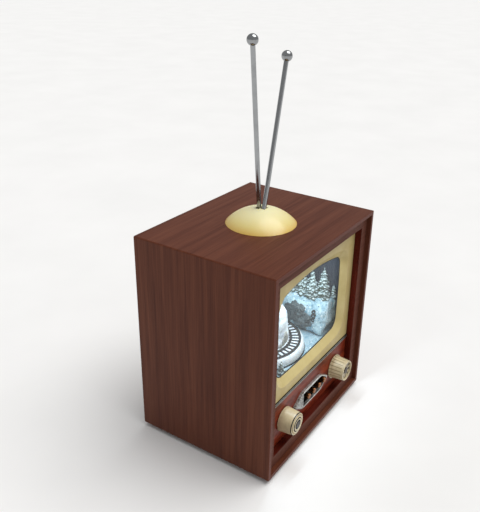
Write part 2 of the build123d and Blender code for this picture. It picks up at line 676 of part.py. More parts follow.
with BuildPart() as drive_plate:
    block((TABLE_X - 38, TABLE_X + 38), (44, PLATE_BACK), (PLATE_Z, PLATE_Z + PLATE_T))
    post(TABLE_X, TABLE_Y, 5.0, (PLATE_Z, PLATE_Z + PLATE_T), Mode.SUBTRACT)
    post(MOTOR_X, MOTOR_Y, 5.0, (PLATE_Z, PLATE_Z + PLATE_T), Mode.SUBTRACT)
save(drive_plate, "drive_plate")

with BuildPart() as plate_standoffs:
    for x, depth in STANDOFFS:
        post(x, FRONT_Y + depth, 2.6, (PLATE_Z + PLATE_T, BOX_Z0))
save(plate_standoffs, "plate_standoffs")

with BuildPart() as drive_motor:
    post(MOTOR_X, MOTOR_Y, MOTOR_R, (PLATE_Z - 18, PLATE_Z))
    fillet(drive_motor.faces().sort_by(Axis.Z)[0].edges(), radius=1.5)
    post(MOTOR_X, MOTOR_Y, 2.05, (PLATE_Z - 2.3, PLATE_Z), Mode.SUBTRACT)
save(drive_motor, "drive_motor")

# ---- Lamps, board and speaker ----------------------------------------------
LAMP_Z = BOX_Z1 - BOX_T
LAMP_X = [-48, -24, 0, 24, 48]

with BuildPart() as lamp_board:
    block((-58, 58), (BEZEL_BACK + 3, BEZEL_BACK + 13), (LAMP_Z - 1.4, LAMP_Z))
save(lamp_board, "lamp_board")

with BuildPart() as scene_lamps:
    for x in LAMP_X:
        post(x, FRONT_Y + BEZEL_BACK + 8, 2.4, (LAMP_Z - 3.9, LAMP_Z - 1.4))
        with Locations((x, FRONT_Y + BEZEL_BACK + 8, LAMP_Z - 3.9)):
            Sphere(2.4)
save(scene_lamps, "scene_lamps")

BOARD_X = (-62, 12)
BOARD_Z = (98, 158)
BOARD_DEPTH = 141.0

with BuildPart() as sound_board:
    block(BOARD_X, (BOARD_DEPTH, BOARD_DEPTH + 1.6), BOARD_Z)
save(sound_board, "sound_board")

with BuildPart() as board_spacers:
    for x in (BOARD_X[0] + 4, BOARD_X[1] - 4):
        for z in (BOARD_Z[0] + 4, BOARD_Z[1] - 4):
            rod_y(x, z, 2.6, (BOX_BACK, BOARD_DEPTH))
save(board_spacers, "board_spacers")

with BuildPart() as board_parts:
    top = BOARD_DEPTH + 1.6
    block((-34, -18), (top, top + 1.8), (120, 136))
    block((-10, 2), (top, top + 4), (104, 110))
    for x, z in ((-52, 112), (-52, 124), (-8, 124)):
        rod_y(x, z, 3.0, (top, top + 5.5))
    for z in (143, 148):
        rod_y(-4, z, 1.2, (top, top + 3))
save(board_parts, "board_parts")

SPEAKER_Z = IN_Z0

with BuildPart() as speaker_basket:
    post(SPEAKER_X, SPEAKER_Y, SPEAKER_R, (SPEAKER_Z, SPEAKER_Z + 2))
    with BuildSketch(Plane.XY.offset(SPEAKER_Z + 2)):
        with Locations((SPEAKER_X, SPEAKER_Y)):
            Circle(SPEAKER_R - 2)
    with BuildSketch(Plane.XY.offset(SPEAKER_Z + 11)):
        with Locations((SPEAKER_X, SPEAKER_Y)):
            Circle(13)
    loft()
    with BuildSketch(Plane.XY.offset(SPEAKER_Z)):
        with Locations((SPEAKER_X, SPEAKER_Y)):
            Circle(SPEAKER_R - 3.5)
    with BuildSketch(Plane.XY.offset(SPEAKER_Z + 10)):
        with Locations((SPEAKER_X, SPEAKER_Y)):
            Circle(11)
    loft(mode=Mode.SUBTRACT)
save(speaker_basket, "speaker_basket")

with BuildPart() as speaker_magnet:
    post(SPEAKER_X, SPEAKER_Y, 15, (SPEAKER_Z + 11, SPEAKER_Z + 19))
save(speaker_magnet, "speaker_magnet")

with BuildPart() as speaker_cone:
    with BuildSketch(Plane.XY.offset(SPEAKER_Z + 0.6)):
        with Locations((SPEAKER_X, SPEAKER_Y)):
            Circle(SPEAKER_R - 4.6)
    with BuildSketch(Plane.XY.offset(SPEAKER_Z + 8)):
        with Locations((SPEAKER_X, SPEAKER_Y)):
            Circle(9)
    loft()
    with BuildSketch(Plane.XY.offset(SPEAKER_Z + 0.6)):
        with Locations((SPEAKER_X, SPEAKER_Y)):
            Circle(SPEAKER_R - 5.6)
    with BuildSketch(Plane.XY.offset(SPEAKER_Z + 7)):
        with Locations((SPEAKER_X, SPEAKER_Y)):
            Circle(8)
    loft(mode=Mode.SUBTRACT)
save(speaker_cone, "speaker_cone")

# ---- Back cover, battery compartment and power inlet ------------------------
BLOCK = 12.0
BLOCK_X = IN_X - BLOCK / 2
BLOCKS = [(x, z) for x in (-BLOCK_X, BLOCK_X) for z in (IN_Z0 + BLOCK / 2, IN_Z1 - BLOCK / 2)]
COVER_BACK = COVER_DEPTH + COVER_T
HATCH_Z1 = HATCH_Z0 + HATCH_H
HATCH_MID = (HATCH_Z0 + HATCH_Z1) / 2
HINGE_Z = HATCH_Z0 + 2.2
HINGE_DEPTH = COVER_DEPTH + COVER_T / 2
HINGE_R = 0.8
DOOR_GAP = 0.4

with BuildPart() as corner_blocks:
    for x, z in BLOCKS:
        half = BLOCK / 2 - GLUE
        block((x - half, x + half), (COVER_DEPTH - 14, COVER_DEPTH), (z - half, z + half))
        rod_y(x, z, 1.3, (COVER_DEPTH - 9, COVER_DEPTH), Mode.SUBTRACT)
save(corner_blocks, "corner_blocks")

with BuildPart() as back_cover:
    block((-IN_X + 0.4, IN_X - 0.4), (COVER_DEPTH, COVER_DEPTH + COVER_T), (IN_Z0 + 0.4, IN_Z1 - 0.4))
    for x, z in BLOCKS:
        rod_y(x, z, 1.5, (COVER_DEPTH, COVER_DEPTH + COVER_T), Mode.SUBTRACT)
    half_w = HATCH_W / 2
    hatch_w = (HATCH_X - half_w, HATCH_X + half_w)
    block(hatch_w, (COVER_DEPTH - 1, COVER_DEPTH + COVER_T + 1), (HATCH_Z0, HATCH_Z1), Mode.SUBTRACT)
    rod_y(INLET_X, INLET_Z, 5.6, (COVER_DEPTH, COVER_DEPTH + COVER_T), Mode.SUBTRACT)
    with BuildSketch(front_plane(COVER_DEPTH)):
        with Locations((0, 186)):
            with GridLocations(26, 7.5, 5, 4):
                SlotOverall(20, 3.2)
        with Locations((0, 90)):
            with GridLocations(26, 7.5, 5, 3):
                SlotOverall(20, 3.2)
    extrude(amount=-COVER_T, mode=Mode.SUBTRACT)
    with Locations(Location((HATCH_X, FRONT_Y + HINGE_DEPTH, HINGE_Z), (0, 90, 0))):
        Cylinder(HINGE_R + 0.08, HATCH_W + 5, mode=Mode.SUBTRACT)
save(back_cover, "back_cover")

with BuildPart() as cover_screws:
    for x, z in BLOCKS:
        rod_y(x, z, 1.3, (COVER_DEPTH - 8, COVER_DEPTH + COVER_T))
        rod_y(x, z, 2.8, (COVER_DEPTH + COVER_T, COVER_DEPTH + COVER_T + 1.0))
save(cover_screws, "cover_screws")

with BuildPart() as battery_door:
    door_half = HATCH_W / 2 - DOOR_GAP
    door_w = (HATCH_X - door_half, HATCH_X + door_half)
    block(door_w, (COVER_DEPTH, COVER_BACK), (HINGE_Z, HATCH_Z1 - DOOR_GAP))
    with Locations(Location((HATCH_X, FRONT_Y + HINGE_DEPTH, HINGE_Z), (0, 90, 0))):
        Cylinder(COVER_T / 2, 2 * door_half)
        Cylinder(HINGE_R, HATCH_W + 4.4)
    block((HATCH_X - 8, HATCH_X + 8), (COVER_BACK, COVER_BACK + 1), (HATCH_Z1 - 8, HATCH_Z1 - 5))
save(battery_door, "battery_door")

HOLDER_DEPTH = COVER_DEPTH - 18.0
CELL_DEPTH = HOLDER_DEPTH + 1.8 + CELL_R
CELL_Z = [HATCH_MID - 15.4, HATCH_MID, HATCH_MID + 15.4]

with BuildPart() as battery_holder:
    block((HATCH_X - 34, HATCH_X + 34), (HOLDER_DEPTH, COVER_DEPTH), (HATCH_Z0 - 2, HATCH_Z1 + 2))
    tray_z = (HATCH_Z0 + 0.4, HATCH_Z1 - 0.4)
    block((HATCH_X - 31.8, HATCH_X + 31.8), (HOLDER_DEPTH + 1.6, COVER_DEPTH), tray_z, Mode.SUBTRACT)
save(battery_holder, "battery_holder")

with BuildPart() as battery_cells:
    for z in CELL_Z:
        with Locations(Location((HATCH_X, FRONT_Y + CELL_DEPTH, z), (0, 90, 0))):
            Cylinder(CELL_R, CELL_L)
            Cylinder(2.6, CELL_L + 2)
save(battery_cells, "battery_cells")

with BuildPart() as cell_contacts:
    for z in CELL_Z:
        for x in (HATCH_X - 30.8, HATCH_X + 30.8):
            block((x - 0.8, x + 0.8), (CELL_DEPTH - 5, CELL_DEPTH + 5), (z - 5, z + 5))
save(cell_contacts, "cell_contacts")

with BuildPart() as power_inlet:
    rod_y(INLET_X, INLET_Z, 5.5, (COVER_DEPTH - 12, COVER_DEPTH + COVER_T))
    rod_y(INLET_X, INLET_Z, 7.5, (COVER_DEPTH - 2, COVER_DEPTH))
    rod_y(INLET_X, INLET_Z, 3.2, (COVER_DEPTH - 8, COVER_DEPTH + COVER_T), Mode.SUBTRACT)
    rod_y(INLET_X, INLET_Z, 1.0, (COVER_DEPTH - 12, COVER_DEPTH + 1))
save(power_inlet, "power_inlet")

# ---- Feet --------------------------------------------------------------------
with BuildPart() as feet:
    for x, y in FOOT_SPOTS:
        with Locations((x, y, FOOT_H / 2)):
            Cone(5.0, 5.8, FOOT_H)
        post(x, y, 3.0, (0, 1.6), Mode.SUBTRACT)
        post(x, y, 1.3, (1.6, FOOT_H), Mode.SUBTRACT)
save(feet, "feet")

# ---- Self-tapping screws that share one size -----------------------------------
def screw_y(x, z, point, seat):
    """Screw along Y whose head rests on the face at the depth called seat."""
    rod_y(x, z, SCREW_R, (point, seat))
    rod_y(x, z, HEAD_R, (seat, seat + HEAD_T))


with BuildPart() as case_screws:
    for x, z in PANEL_SCREWS:
        screw_y(x, z, PANEL_DEPTH - 4, RECESS_DEPTH)
    for x, z in BOX_SCREWS:
        screw_y(x, z, 15, BEZEL_BACK + 2)
    for x, y in DOME_SCREWS:
        post(x, y, SCREW_R, (IN_Z1, TOP_Z + 7))
        post(x, y, HEAD_R, (IN_Z1 - HEAD_T, IN_Z1))
    for x, y in FOOT_SPOTS:
        post(x, y, SCREW_R, (1.6, IN_Z0))
        post(x, y, HEAD_R, (1.6 - HEAD_T, 1.6))
save(case_screws, "case_screws")
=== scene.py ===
import json
import math
import random

import bmesh
import bpy
from mathutils import Matrix, Vector, noise
from mathutils.bvhtree import BVHTree


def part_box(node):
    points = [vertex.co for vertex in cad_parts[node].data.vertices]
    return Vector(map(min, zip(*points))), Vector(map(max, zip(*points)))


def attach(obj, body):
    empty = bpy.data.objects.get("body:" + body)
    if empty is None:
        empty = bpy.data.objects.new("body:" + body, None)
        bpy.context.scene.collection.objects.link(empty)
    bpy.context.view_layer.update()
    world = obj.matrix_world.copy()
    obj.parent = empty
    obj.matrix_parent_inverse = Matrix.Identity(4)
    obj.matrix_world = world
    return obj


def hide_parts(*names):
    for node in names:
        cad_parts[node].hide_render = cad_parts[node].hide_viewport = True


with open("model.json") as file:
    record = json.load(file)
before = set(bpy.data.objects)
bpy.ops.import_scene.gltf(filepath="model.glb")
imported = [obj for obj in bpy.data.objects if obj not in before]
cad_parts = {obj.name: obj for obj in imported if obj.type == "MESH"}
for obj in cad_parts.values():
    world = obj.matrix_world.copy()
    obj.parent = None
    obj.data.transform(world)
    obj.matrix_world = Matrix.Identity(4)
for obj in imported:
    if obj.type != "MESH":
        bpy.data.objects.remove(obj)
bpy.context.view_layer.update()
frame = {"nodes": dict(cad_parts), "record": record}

MM = 0.001
SEED = 11
dice = random.Random(SEED)


def middle(node):
    """Centre of a CAD node's box."""
    low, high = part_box(node)
    return (low + high) / 2


# ---- Finishes -------------------------------------------------------------
def rgb(red, green, blue):
    """Scene-linear colour of a screen colour given as 0 to 255."""
    linear = [(c / 255 / 12.92) if c < 11 else ((c / 255 + 0.055) / 1.055) ** 2.4 for c in (red, green, blue)]
    return (*linear, 1.0)


class Finish:
    """A new material, with short ways to add and join its nodes."""

    def __init__(self, name, **settings):
        self.material = bpy.data.materials.new(name)
        self.material.use_nodes = True
        self.tree = self.material.node_tree
        self.shader = self.tree.nodes["Principled BSDF"]
        for label, value in settings.items():
            self.set(label.replace("_", " "), value)

    def set(self, label, value):
        """Gives an input of the shader a number, a colour or another node's output."""
        self.put(self.shader.inputs[label], value)

    def put(self, socket, value):
        if isinstance(value, bpy.types.NodeSocket):
            self.tree.links.new(value, socket)
        else:
            socket.default_value = value

    def place(self, scale=(1, 1, 1)):
        """Place on the piece in metres, times a scale for each axis."""
        source = self.tree.nodes.new("ShaderNodeTexCoord").outputs["Object"]
        mapping = self.tree.nodes.new("ShaderNodeMapping")
        mapping.inputs["Scale"].default_value = scale
        self.put(mapping.inputs["Vector"], source)
        return mapping.outputs["Vector"]

    def part(self, vector, axis):
        split = self.tree.nodes.new("ShaderNodeSeparateXYZ")
        self.put(split.inputs[0], vector)
        return split.outputs[axis]

    def facing(self, axis):
        """How much the surface faces along an axis of its own body, from 0 to 1 either way."""
        normal = self.tree.nodes.new("ShaderNodeTexCoord").outputs["Normal"]
        return self.calc("ABSOLUTE", self.part(normal, axis))

    def noise(self, scale, detail=4.0, roughness=0.55, vector=None, distortion=0.0):
        texture = self.tree.nodes.new("ShaderNodeTexNoise")
        self.put(texture.inputs["Vector"], vector or self.place())
        self.put(texture.inputs["Scale"], scale)
        self.put(texture.inputs["Detail"], detail)
        self.put(texture.inputs["Roughness"], roughness)
        self.put(texture.inputs["Distortion"], distortion)
        return texture.outputs["Fac"]

    def cells(self, scale, output="Distance", vector=None):
        texture = self.tree.nodes.new("ShaderNodeTexVoronoi")
        self.put(texture.inputs["Vector"], vector or self.place())
        self.put(texture.inputs["Scale"], scale)
        return texture.outputs[output]

    def calc(self, operation, first, second=0.0):
        node = self.tree.nodes.new("ShaderNodeMath")
        node.operation = operation
        self.put(node.inputs[0], first)
        self.put(node.inputs[1], second)
        return node.outputs[0]

    def ramp(self, value, *stops, steps=False):
        """Colour ramp through (position, colour) stops; a plain number makes a grey."""
        node = self.tree.nodes.new("ShaderNodeValToRGB")
        band = node.color_ramp
        if steps:
            band.interpolation = "CONSTANT"
        while len(band.elements) < len(stops):
            band.elements.new(1.0)
        for element, (position, colour) in zip(band.elements, stops):
            element.position = position
            element.color = colour if isinstance(colour, tuple) else (colour, colour, colour, 1.0)
        self.put(node.inputs[0], value)
        return node.outputs[0]

    def mix(self, amount, first, second, kind="RGBA"):
        node = self.tree.nodes.new("ShaderNodeMix")
        node.data_type = kind
        first_index, second_index, out_index = {"RGBA": (6, 7, 2), "VECTOR": (4, 5, 1)}[kind]
        self.put(node.inputs[0], amount)
        self.put(node.inputs[first_index], first)
        self.put(node.inputs[second_index], second)
        return node.outputs[out_index]

    def bump(self, height, depth, strength=1.0):
        """Surface relief: height from 0 to 1 times a depth in metres."""
        node = self.tree.nodes.new("ShaderNodeBump")
        self.put(node.inputs["Strength"], strength)
        self.put(node.inputs["Distance"], depth)
        self.put(node.inputs["Height"], height)
        rounded = self.rounding()
        self.put(node.inputs["Normal"], rounded)
        self.set("Normal", node.outputs[0])

    def rounding(self, radius=0.35 * MM):
        """The surface normal with a small round on every sharp edge."""
        node = self.tree.nodes.new("ShaderNodeBevel")
        node.samples = 4
        self.put(node.inputs["Radius"], radius)
        return node.outputs[0]

    def edges(self, radius=0.6 * MM):
        """1 close to a sharp edge and 0 elsewhere."""
        node = self.tree.nodes.new("ShaderNodeVectorMath")
        node.operation = "DOT_PRODUCT"
        self.put(node.inputs[0], self.rounding(radius))
        self.put(node.inputs[1], self.tree.nodes.new("ShaderNodeNewGeometry").outputs["Normal"])
        return self.ramp(node.outputs["Value"], (0.9, 1.0), (0.995, 0.0))

    def radius_from(self, centre):
        """Distance from an axis along Y through a point, in millimetres."""
        place = self.place()
        across = self.calc("SUBTRACT", self.part(place, 0), centre.x)
        upward = self.calc("SUBTRACT", self.part(place, 2), centre.z)
        square = self.calc("ADD", self.calc("MULTIPLY", across, across), self.calc("MULTIPLY", upward, upward))
        return self.calc("MULTIPLY", self.calc("SQRT", square), 1000.0)


def veneer():
    """Cabinet film: fine grain along the top, upright on the sides, a redder tone on the front rim that is partly
    painted light, and a painted highlight on its edges.
    """
    finish = Finish("cabinet_wood", Specular_IOR_Level=0.14)
    inner_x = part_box("front_frame")[1].x
    on_side = finish.calc("GREATER_THAN", finish.facing(0), 0.6)
    on_front = finish.calc("GREATER_THAN", finish.facing(1), 0.6)
    off_middle = finish.calc("ABSOLUTE", finish.part(finish.place(), 0))
    on_strip = finish.calc("MULTIPLY", on_front, finish.calc("GREATER_THAN", off_middle, inner_x))
    upright = finish.calc("MAXIMUM", on_side, on_strip)
    along = finish.mix(upright, finish.place((22, 1500, 1500)), finish.place((1500, 1500, 22)), "VECTOR")
    wide = finish.mix(upright, finish.place((5, 170, 170)), finish.place((170, 170, 5)), "VECTOR")
    fine = finish.noise(1.0, 3, 0.6, along)
    bands = finish.noise(1.0, 3, 0.5, wide, 0.4)
    clouds = finish.noise(14.0, 2, 0.5)
    tone = finish.calc("ADD", finish.calc("MULTIPLY", fine, 0.5), finish.calc("MULTIPLY", bands, 0.5))
    grain = finish.ramp(tone, (0.3, rgb(68, 32, 21)), (0.5, rgb(94, 50, 33)), (0.72, rgb(117, 67, 45)))
    grain = finish.mix(finish.calc("MULTIPLY", clouds, 0.4), grain, rgb(84, 42, 30))
    # Faces turned to the front or back are pulled towards a redder brown: partly the rim's own colour, partly
    # painted light for how these faces are lit.
    grain = finish.mix(finish.calc("MULTIPLY", on_front, 0.6), grain, rgb(90, 40, 28))
    # Painted edge highlight, broken up by noise: a lighter brown near every sharp edge.
    painted_edge_highlight = finish.calc("MULTIPLY", finish.edges(), finish.noise(160.0, 3))
    finish.set("Base Color", finish.mix(finish.calc("MULTIPLY", painted_edge_highlight, 0.5), grain, rgb(150, 104, 80)))
    finish.set("Roughness", finish.ramp(tone, (0.3, 0.5), (0.7, 0.36)))
    finish.bump(fine, 0.05 * MM, 0.5)
    return finish.material


def stained(name, dark, light, grain_scale):
    """Plain stained wood or board; the grain runs along the axis with the smallest scale."""
    finish = Finish(name, Specular_IOR_Level=0.15)
    fine = finish.noise(1.0, 4, 0.6, finish.place(grain_scale))
    broad = finish.noise(1.0, 3, 0.5, finish.place(tuple(s / 9 for s in grain_scale)), 0.6)
    tone = finish.calc("ADD", finish.calc("MULTIPLY", fine, 0.4), finish.calc("MULTIPLY", broad, 0.6))
    colour = finish.ramp(tone, (0.32, dark), (0.7, light))
    # Painted edge highlight: a fixed share of a mid brown near every sharp edge.
    painted_edge_highlight = finish.calc("MULTIPLY", finish.edges(), 0.15)
    finish.set("Base Color", finish.mix(painted_edge_highlight, colour, rgb(140, 84, 62)))
    finish.set("Roughness", finish.ramp(broad, (0.3, 0.45), (0.7, 0.3)))
    finish.bump(fine, 0.04 * MM, 0.5)
    return finish.material


def moulded(name, colour, shade, roughness=0.4, pit=0.03, scale=900.0, **settings):
    """Moulded plastic, paint or card: faint clouds of tone, fine pits, and a painted highlight that makes the edges
    a little lighter.
    """
    finish = Finish(name, **settings)
    clouds = finish.noise(60.0, 4, 0.6)
    pits = finish.noise(scale, 3, 0.6)
    tone = finish.ramp(clouds, (0.3, shade), (0.7, colour))
    # Painted edge highlight: a pale share near every sharp edge.
    lit = finish.calc("MULTIPLY", finish.edges(), 0.12)
    finish.set("Base Color", finish.mix(lit, tone, rgb(235, 230, 220)))
    finish.set("Roughness", finish.ramp(clouds, (0.3, roughness * 1.2), (0.7, roughness * 0.8)))
    finish.bump(pits, pit * MM, 0.4)
    return finish.material


def metal(name, colour, roughness, brushed=(400, 400, 400), tarnish=None):
    """Plated or plain metal: fine drawing lines, smudges and a little tarnish."""
    finish = Finish(name, Metallic=1.0)
    lines = finish.noise(1.0, 3, 0.6, finish.place(brushed))
    smudge = finish.noise(90.0, 4, 0.6)
    dull = tarnish or tuple(c * 0.72 for c in colour[:3]) + (1.0,)
    finish.set("Base Color", finish.mix(finish.ramp(smudge, (0.45, 0.0), (0.75, 0.6)), colour, dull))
    finish.set("Roughness", finish.ramp(smudge, (0.3, roughness * 0.7), (0.75, roughness * 1.6)))
    finish.bump(lines, 0.012 * MM, 0.4)
    return finish.material


def ivory(name):
    """Knob plastic: warm ivory with faint flow lines."""
    finish = Finish(name, Subsurface_Weight=0.08, Subsurface_Radius=(0.002, 0.0014, 0.0008))
    clouds = finish.noise(120.0, 4, 0.6)
    tone = finish.ramp(clouds, (0.3, rgb(180, 164, 130)), (0.7, rgb(208, 194, 158)))
    return finish, clouds, tone


def ring_knob():
    """Ivory knob with a dark centre and two black rings on its face; radii in millimetres."""
    finish, clouds, tone = ivory("knob_ivory_rings")
    face_r = 13.0
    radius = finish.calc("DIVIDE", finish.radius_from(middle("volume_knob")), face_r)
    bands = [(0.0, 1.0), (5.0 / face_r, 0.0)]
    for inner, outer in ((6.5, 7.6), (11.2, 12.6)):
        bands += [(inner / face_r, 1.0), (outer / face_r, 0.0)]
    line = finish.ramp(radius, *bands, steps=True)
    near_front = finish.calc("LESS_THAN", finish.part(finish.place(), 1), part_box("volume_knob")[0].y + 2.4 * MM)
    painted = finish.calc("MULTIPLY", line, near_front)
    finish.set("Base Color", finish.mix(painted, tone, rgb(22, 18, 16)))
    finish.set("Roughness", finish.ramp(clouds, (0.3, 0.42), (0.7, 0.3)))
    finish.bump(finish.noise(1100.0, 3), 0.02 * MM, 0.4)
    return finish.material


def fluted_knob():
    """Ivory knob with painted shade in its flutes and a dark patterned disc sunk in its face."""
    finish, clouds, tone = ivory("knob_ivory_fluted")
    centre = middle("selector_knob")
    radius = finish.radius_from(centre)
    place = finish.place()
    across = finish.calc("SUBTRACT", finish.part(place, 0), centre.x)
    upward = finish.calc("SUBTRACT", finish.part(place, 2), centre.z)
    turn = finish.calc("ARCTAN2", upward, across)
    rays = finish.calc("SINE", finish.calc("MULTIPLY", turn, 9.0))
    mottle = finish.calc("ADD", finish.calc("MULTIPLY", rays, 0.22), finish.noise(420.0, 3))
    disc = finish.ramp(mottle, (0.38, rgb(40, 32, 24)), (0.66, rgb(196, 180, 146)))
    disc = finish.mix(finish.calc("LESS_THAN", radius, 3.7), disc, rgb(58, 46, 34))
    near_front = finish.calc("LESS_THAN", finish.part(place, 1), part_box("selector_knob")[0].y + 2.3 * MM)
    sunk = finish.calc("MULTIPLY", near_front, finish.calc("LESS_THAN", radius, 9.7))
    # Painted shade: darker lines along the flutes on the knob's side, behind its face.
    flutes = finish.calc("COSINE", finish.calc("MULTIPLY", turn, 20.0))
    behind_face = finish.calc("SUBTRACT", 1.0, near_front)
    flute_shade = finish.calc("MULTIPLY", finish.ramp(flutes, (0.55, 0.0), (0.95, 0.75)), behind_face)
    flute_shaded_tone = finish.mix(flute_shade, tone, rgb(112, 92, 58))
    finish.set("Base Color", finish.mix(sunk, flute_shaded_tone, disc))
    finish.set("Roughness", finish.ramp(clouds, (0.3, 0.45), (0.7, 0.32)))
    finish.bump(finish.noise(1100.0, 3), 0.02 * MM, 0.4)
    return finish.material


def dome_paint():
    """Warm cream dome with painted light: brightest at the top, darker and yellower towards its foot."""
    finish = Finish("dome_cream", Coat_Weight=0.25, Coat_Roughness=0.2, Subsurface_Weight=0.1,
                    Subsurface_Radius=(0.004, 0.003, 0.001))
    low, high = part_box("antenna_dome")
    height = finish.calc("DIVIDE", finish.calc("SUBTRACT", finish.part(finish.place(), 2), low.z), high.z - low.z)
    clouds = finish.noise(45.0, 3, 0.5)
    level = finish.calc("ADD", height, finish.calc("MULTIPLY", finish.calc("SUBTRACT", clouds, 0.5), 0.2))
    # Painted light: the colour runs from a dark warm yellow at the foot to a pale cream at the top.
    finish.set("Base Color", finish.ramp(level, (0.02, rgb(222, 184, 92)), (0.35, rgb(230, 211, 136)),
                                         (0.95, rgb(238, 232, 184))))
    finish.set("Roughness", finish.ramp(clouds, (0.3, 0.42), (0.7, 0.3)))
    finish.bump(finish.noise(700.0, 3), 0.02 * MM, 0.4)
    return finish.material


def panel_lacquer():
    """Control panel: deep gloss over a cloudy red-brown stain, with painted shade on its edges."""
    finish = Finish("panel_red", Coat_Weight=0.06, Coat_Roughness=0.07, Specular_IOR_Level=0.1)
    figure = finish.noise(1.0, 4, 0.6, finish.place((26, 60, 90)), 1.2)
    fine = finish.noise(1.0, 3, 0.6, finish.place((60, 900, 900)))
    tone = finish.calc("ADD", finish.calc("MULTIPLY", figure, 0.8), finish.calc("MULTIPLY", fine, 0.2))
    stain = finish.ramp(tone, (0.34, rgb(78, 24, 12)), (0.5, rgb(112, 40, 22)), (0.68, rgb(146, 62, 34)))
    # Painted shade: faces not turned to the front, such as the panel's edges and the walls of its holes, are near
    # black.
    on_face = finish.ramp(finish.facing(1), (0.4, 0.0), (0.7, 1.0))
    finish.set("Base Color", finish.mix(on_face, rgb(26, 22, 18), stain))
    finish.set("Roughness", finish.ramp(fine, (0.3, 0.4), (0.7, 0.25)))
    finish.bump(fine, 0.01 * MM, 0.3)
    return finish.material


def snow(name, deep, bright, relief=0.5, glitter=1.0):
    """Modelling snow: mottled white with small glittering flakes, their sparkle partly painted as white dots."""
    finish = Finish(name, Coat_Weight=glitter, Coat_Roughness=0.08, Subsurface_Weight=0.1,
                    Subsurface_Radius=(0.002, 0.003, 0.004))
    drifts = finish.noise(75.0, 5, 0.62)
    crumbs = finish.noise(520.0, 5, 0.7)
    tone = finish.calc("ADD", finish.calc("MULTIPLY", drifts, 0.6), finish.calc("MULTIPLY", crumbs, 0.4))
    mottled = finish.ramp(tone, (0.4, deep), (0.56, bright))
    # Painted glints: white dots in the colour where the snow should sparkle.
    dots = finish.calc("LESS_THAN", finish.cells(520.0), 0.3)
    chosen = finish.calc("GREATER_THAN", finish.noise(300.0, 2), 0.56)
    painted_glints = finish.calc("MULTIPLY", finish.calc("MULTIPLY", dots, chosen), 0.9 * glitter)
    finish.set("Base Color", finish.mix(painted_glints, mottled, rgb(255, 255, 255)))
    finish.set("Roughness", 0.75)
    finish.bump(tone, relief * MM, 0.8)
    flakes = finish.cells(900.0, "Color")
    tilt = finish.tree.nodes.new("ShaderNodeNormalMap")
    tilt.space = "OBJECT"
    finish.put(tilt.inputs["Strength"], 0.55)
    finish.put(tilt.inputs["Color"], flakes)
    finish.set("Coat Normal", tilt.outputs[0])
    return finish.material


def rock(name, dark, light):
    """Painted plaster rock with dark cracks, pale specks of painted highlight, and a dusting of snow where it faces
    up.
    """
    finish = Finish(name)
    strata = finish.noise(1.0, 6, 0.65, finish.place((150, 150, 260)), 0.8)
    cracks = finish.cells(170.0)
    tone = finish.calc("MULTIPLY", strata, finish.calc("ADD", 0.6, cracks))
    stone = finish.ramp(tone, (0.22, dark), (0.5, light))
    # Painted highlights: pale specks where fine noise is high.
    painted_highlights = finish.ramp(finish.noise(430.0, 3, 0.6), (0.6, 0.0), (0.68, 0.55))
    stone = finish.mix(painted_highlights, stone, rgb(150, 162, 162))
    normal = finish.tree.nodes.new("ShaderNodeTexCoord").outputs["Normal"]
    upward = finish.calc("ADD", finish.part(normal, 2), finish.calc("MULTIPLY", finish.noise(300.0), 0.5))
    finish.set("Base Color", finish.mix(finish.ramp(upward, (1.1, 0.0), (1.25, 0.8)), stone, rgb(205, 220, 228)))
    finish.set("Roughness", 0.85)
    finish.bump(strata, 1.6 * MM, 1.0)
    return finish.material


def frosted_needles():
    """Bottle-brush tree: green bristle under a crust of frost on its upper sides."""
    finish = Finish("tree_green", Coat_Weight=0.5, Coat_Roughness=0.15)
    bristle = finish.noise(1300.0, 3, 0.7)
    patches = finish.noise(260.0, 4, 0.6)
    green = finish.ramp(bristle, (0.3, rgb(26, 38, 28)), (0.7, rgb(84, 100, 76)))
    normal = finish.tree.nodes.new("ShaderNodeTexCoord").outputs["Normal"]
    upward = finish.calc("ADD", finish.calc("MULTIPLY", finish.part(normal, 2), 0.35), patches)
    frost = finish.ramp(upward, (0.55, 0.0), (0.68, 1.0))
    finish.set("Base Color", finish.mix(frost, green, rgb(190, 210, 212)))
    finish.set("Roughness", 0.8)
    finish.bump(bristle, 0.5 * MM, 0.9)
    return finish.material


def dusk_paint():
    """Inside of the scene box: dusk blue, paler and hazier towards the bottom, with painted shade on the side
    walls.
    """
    finish = Finish("night_blue", Specular_IOR_Level=0.2)
    low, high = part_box("scene_box")
    height = finish.calc("DIVIDE", finish.calc("SUBTRACT", finish.part(finish.place(), 2), low.z), high.z - low.z)
    clouds = finish.noise(38.0, 4, 0.55)
    level = finish.calc("ADD", height, finish.calc("MULTIPLY", finish.calc("SUBTRACT", clouds, 0.5), 0.35))
    paint = finish.ramp(level, (0.2, rgb(48, 68, 80)), (0.55, rgb(28, 44, 56)), (0.95, rgb(16, 26, 40)))
    # Painted shade: the side walls are pulled towards a dark slate blue.
    on_side = finish.calc("MULTIPLY", finish.facing(0), 0.45)
    finish.set("Base Color", finish.mix(on_side, paint, rgb(34, 38, 58)))
    finish.set("Roughness", 0.7)
    finish.bump(finish.noise(800.0, 3), 0.03 * MM, 0.4)
    return finish.material


def glowing(name, colour, strength):
    finish = Finish(name, Emission_Color=colour, Emission_Strength=strength, Roughness=0.3)
    finish.set("Base Color", finish.ramp(finish.noise(300.0), (0.4, rgb(230, 236, 240)), (0.6, rgb(250, 252, 255))))
    return finish.material


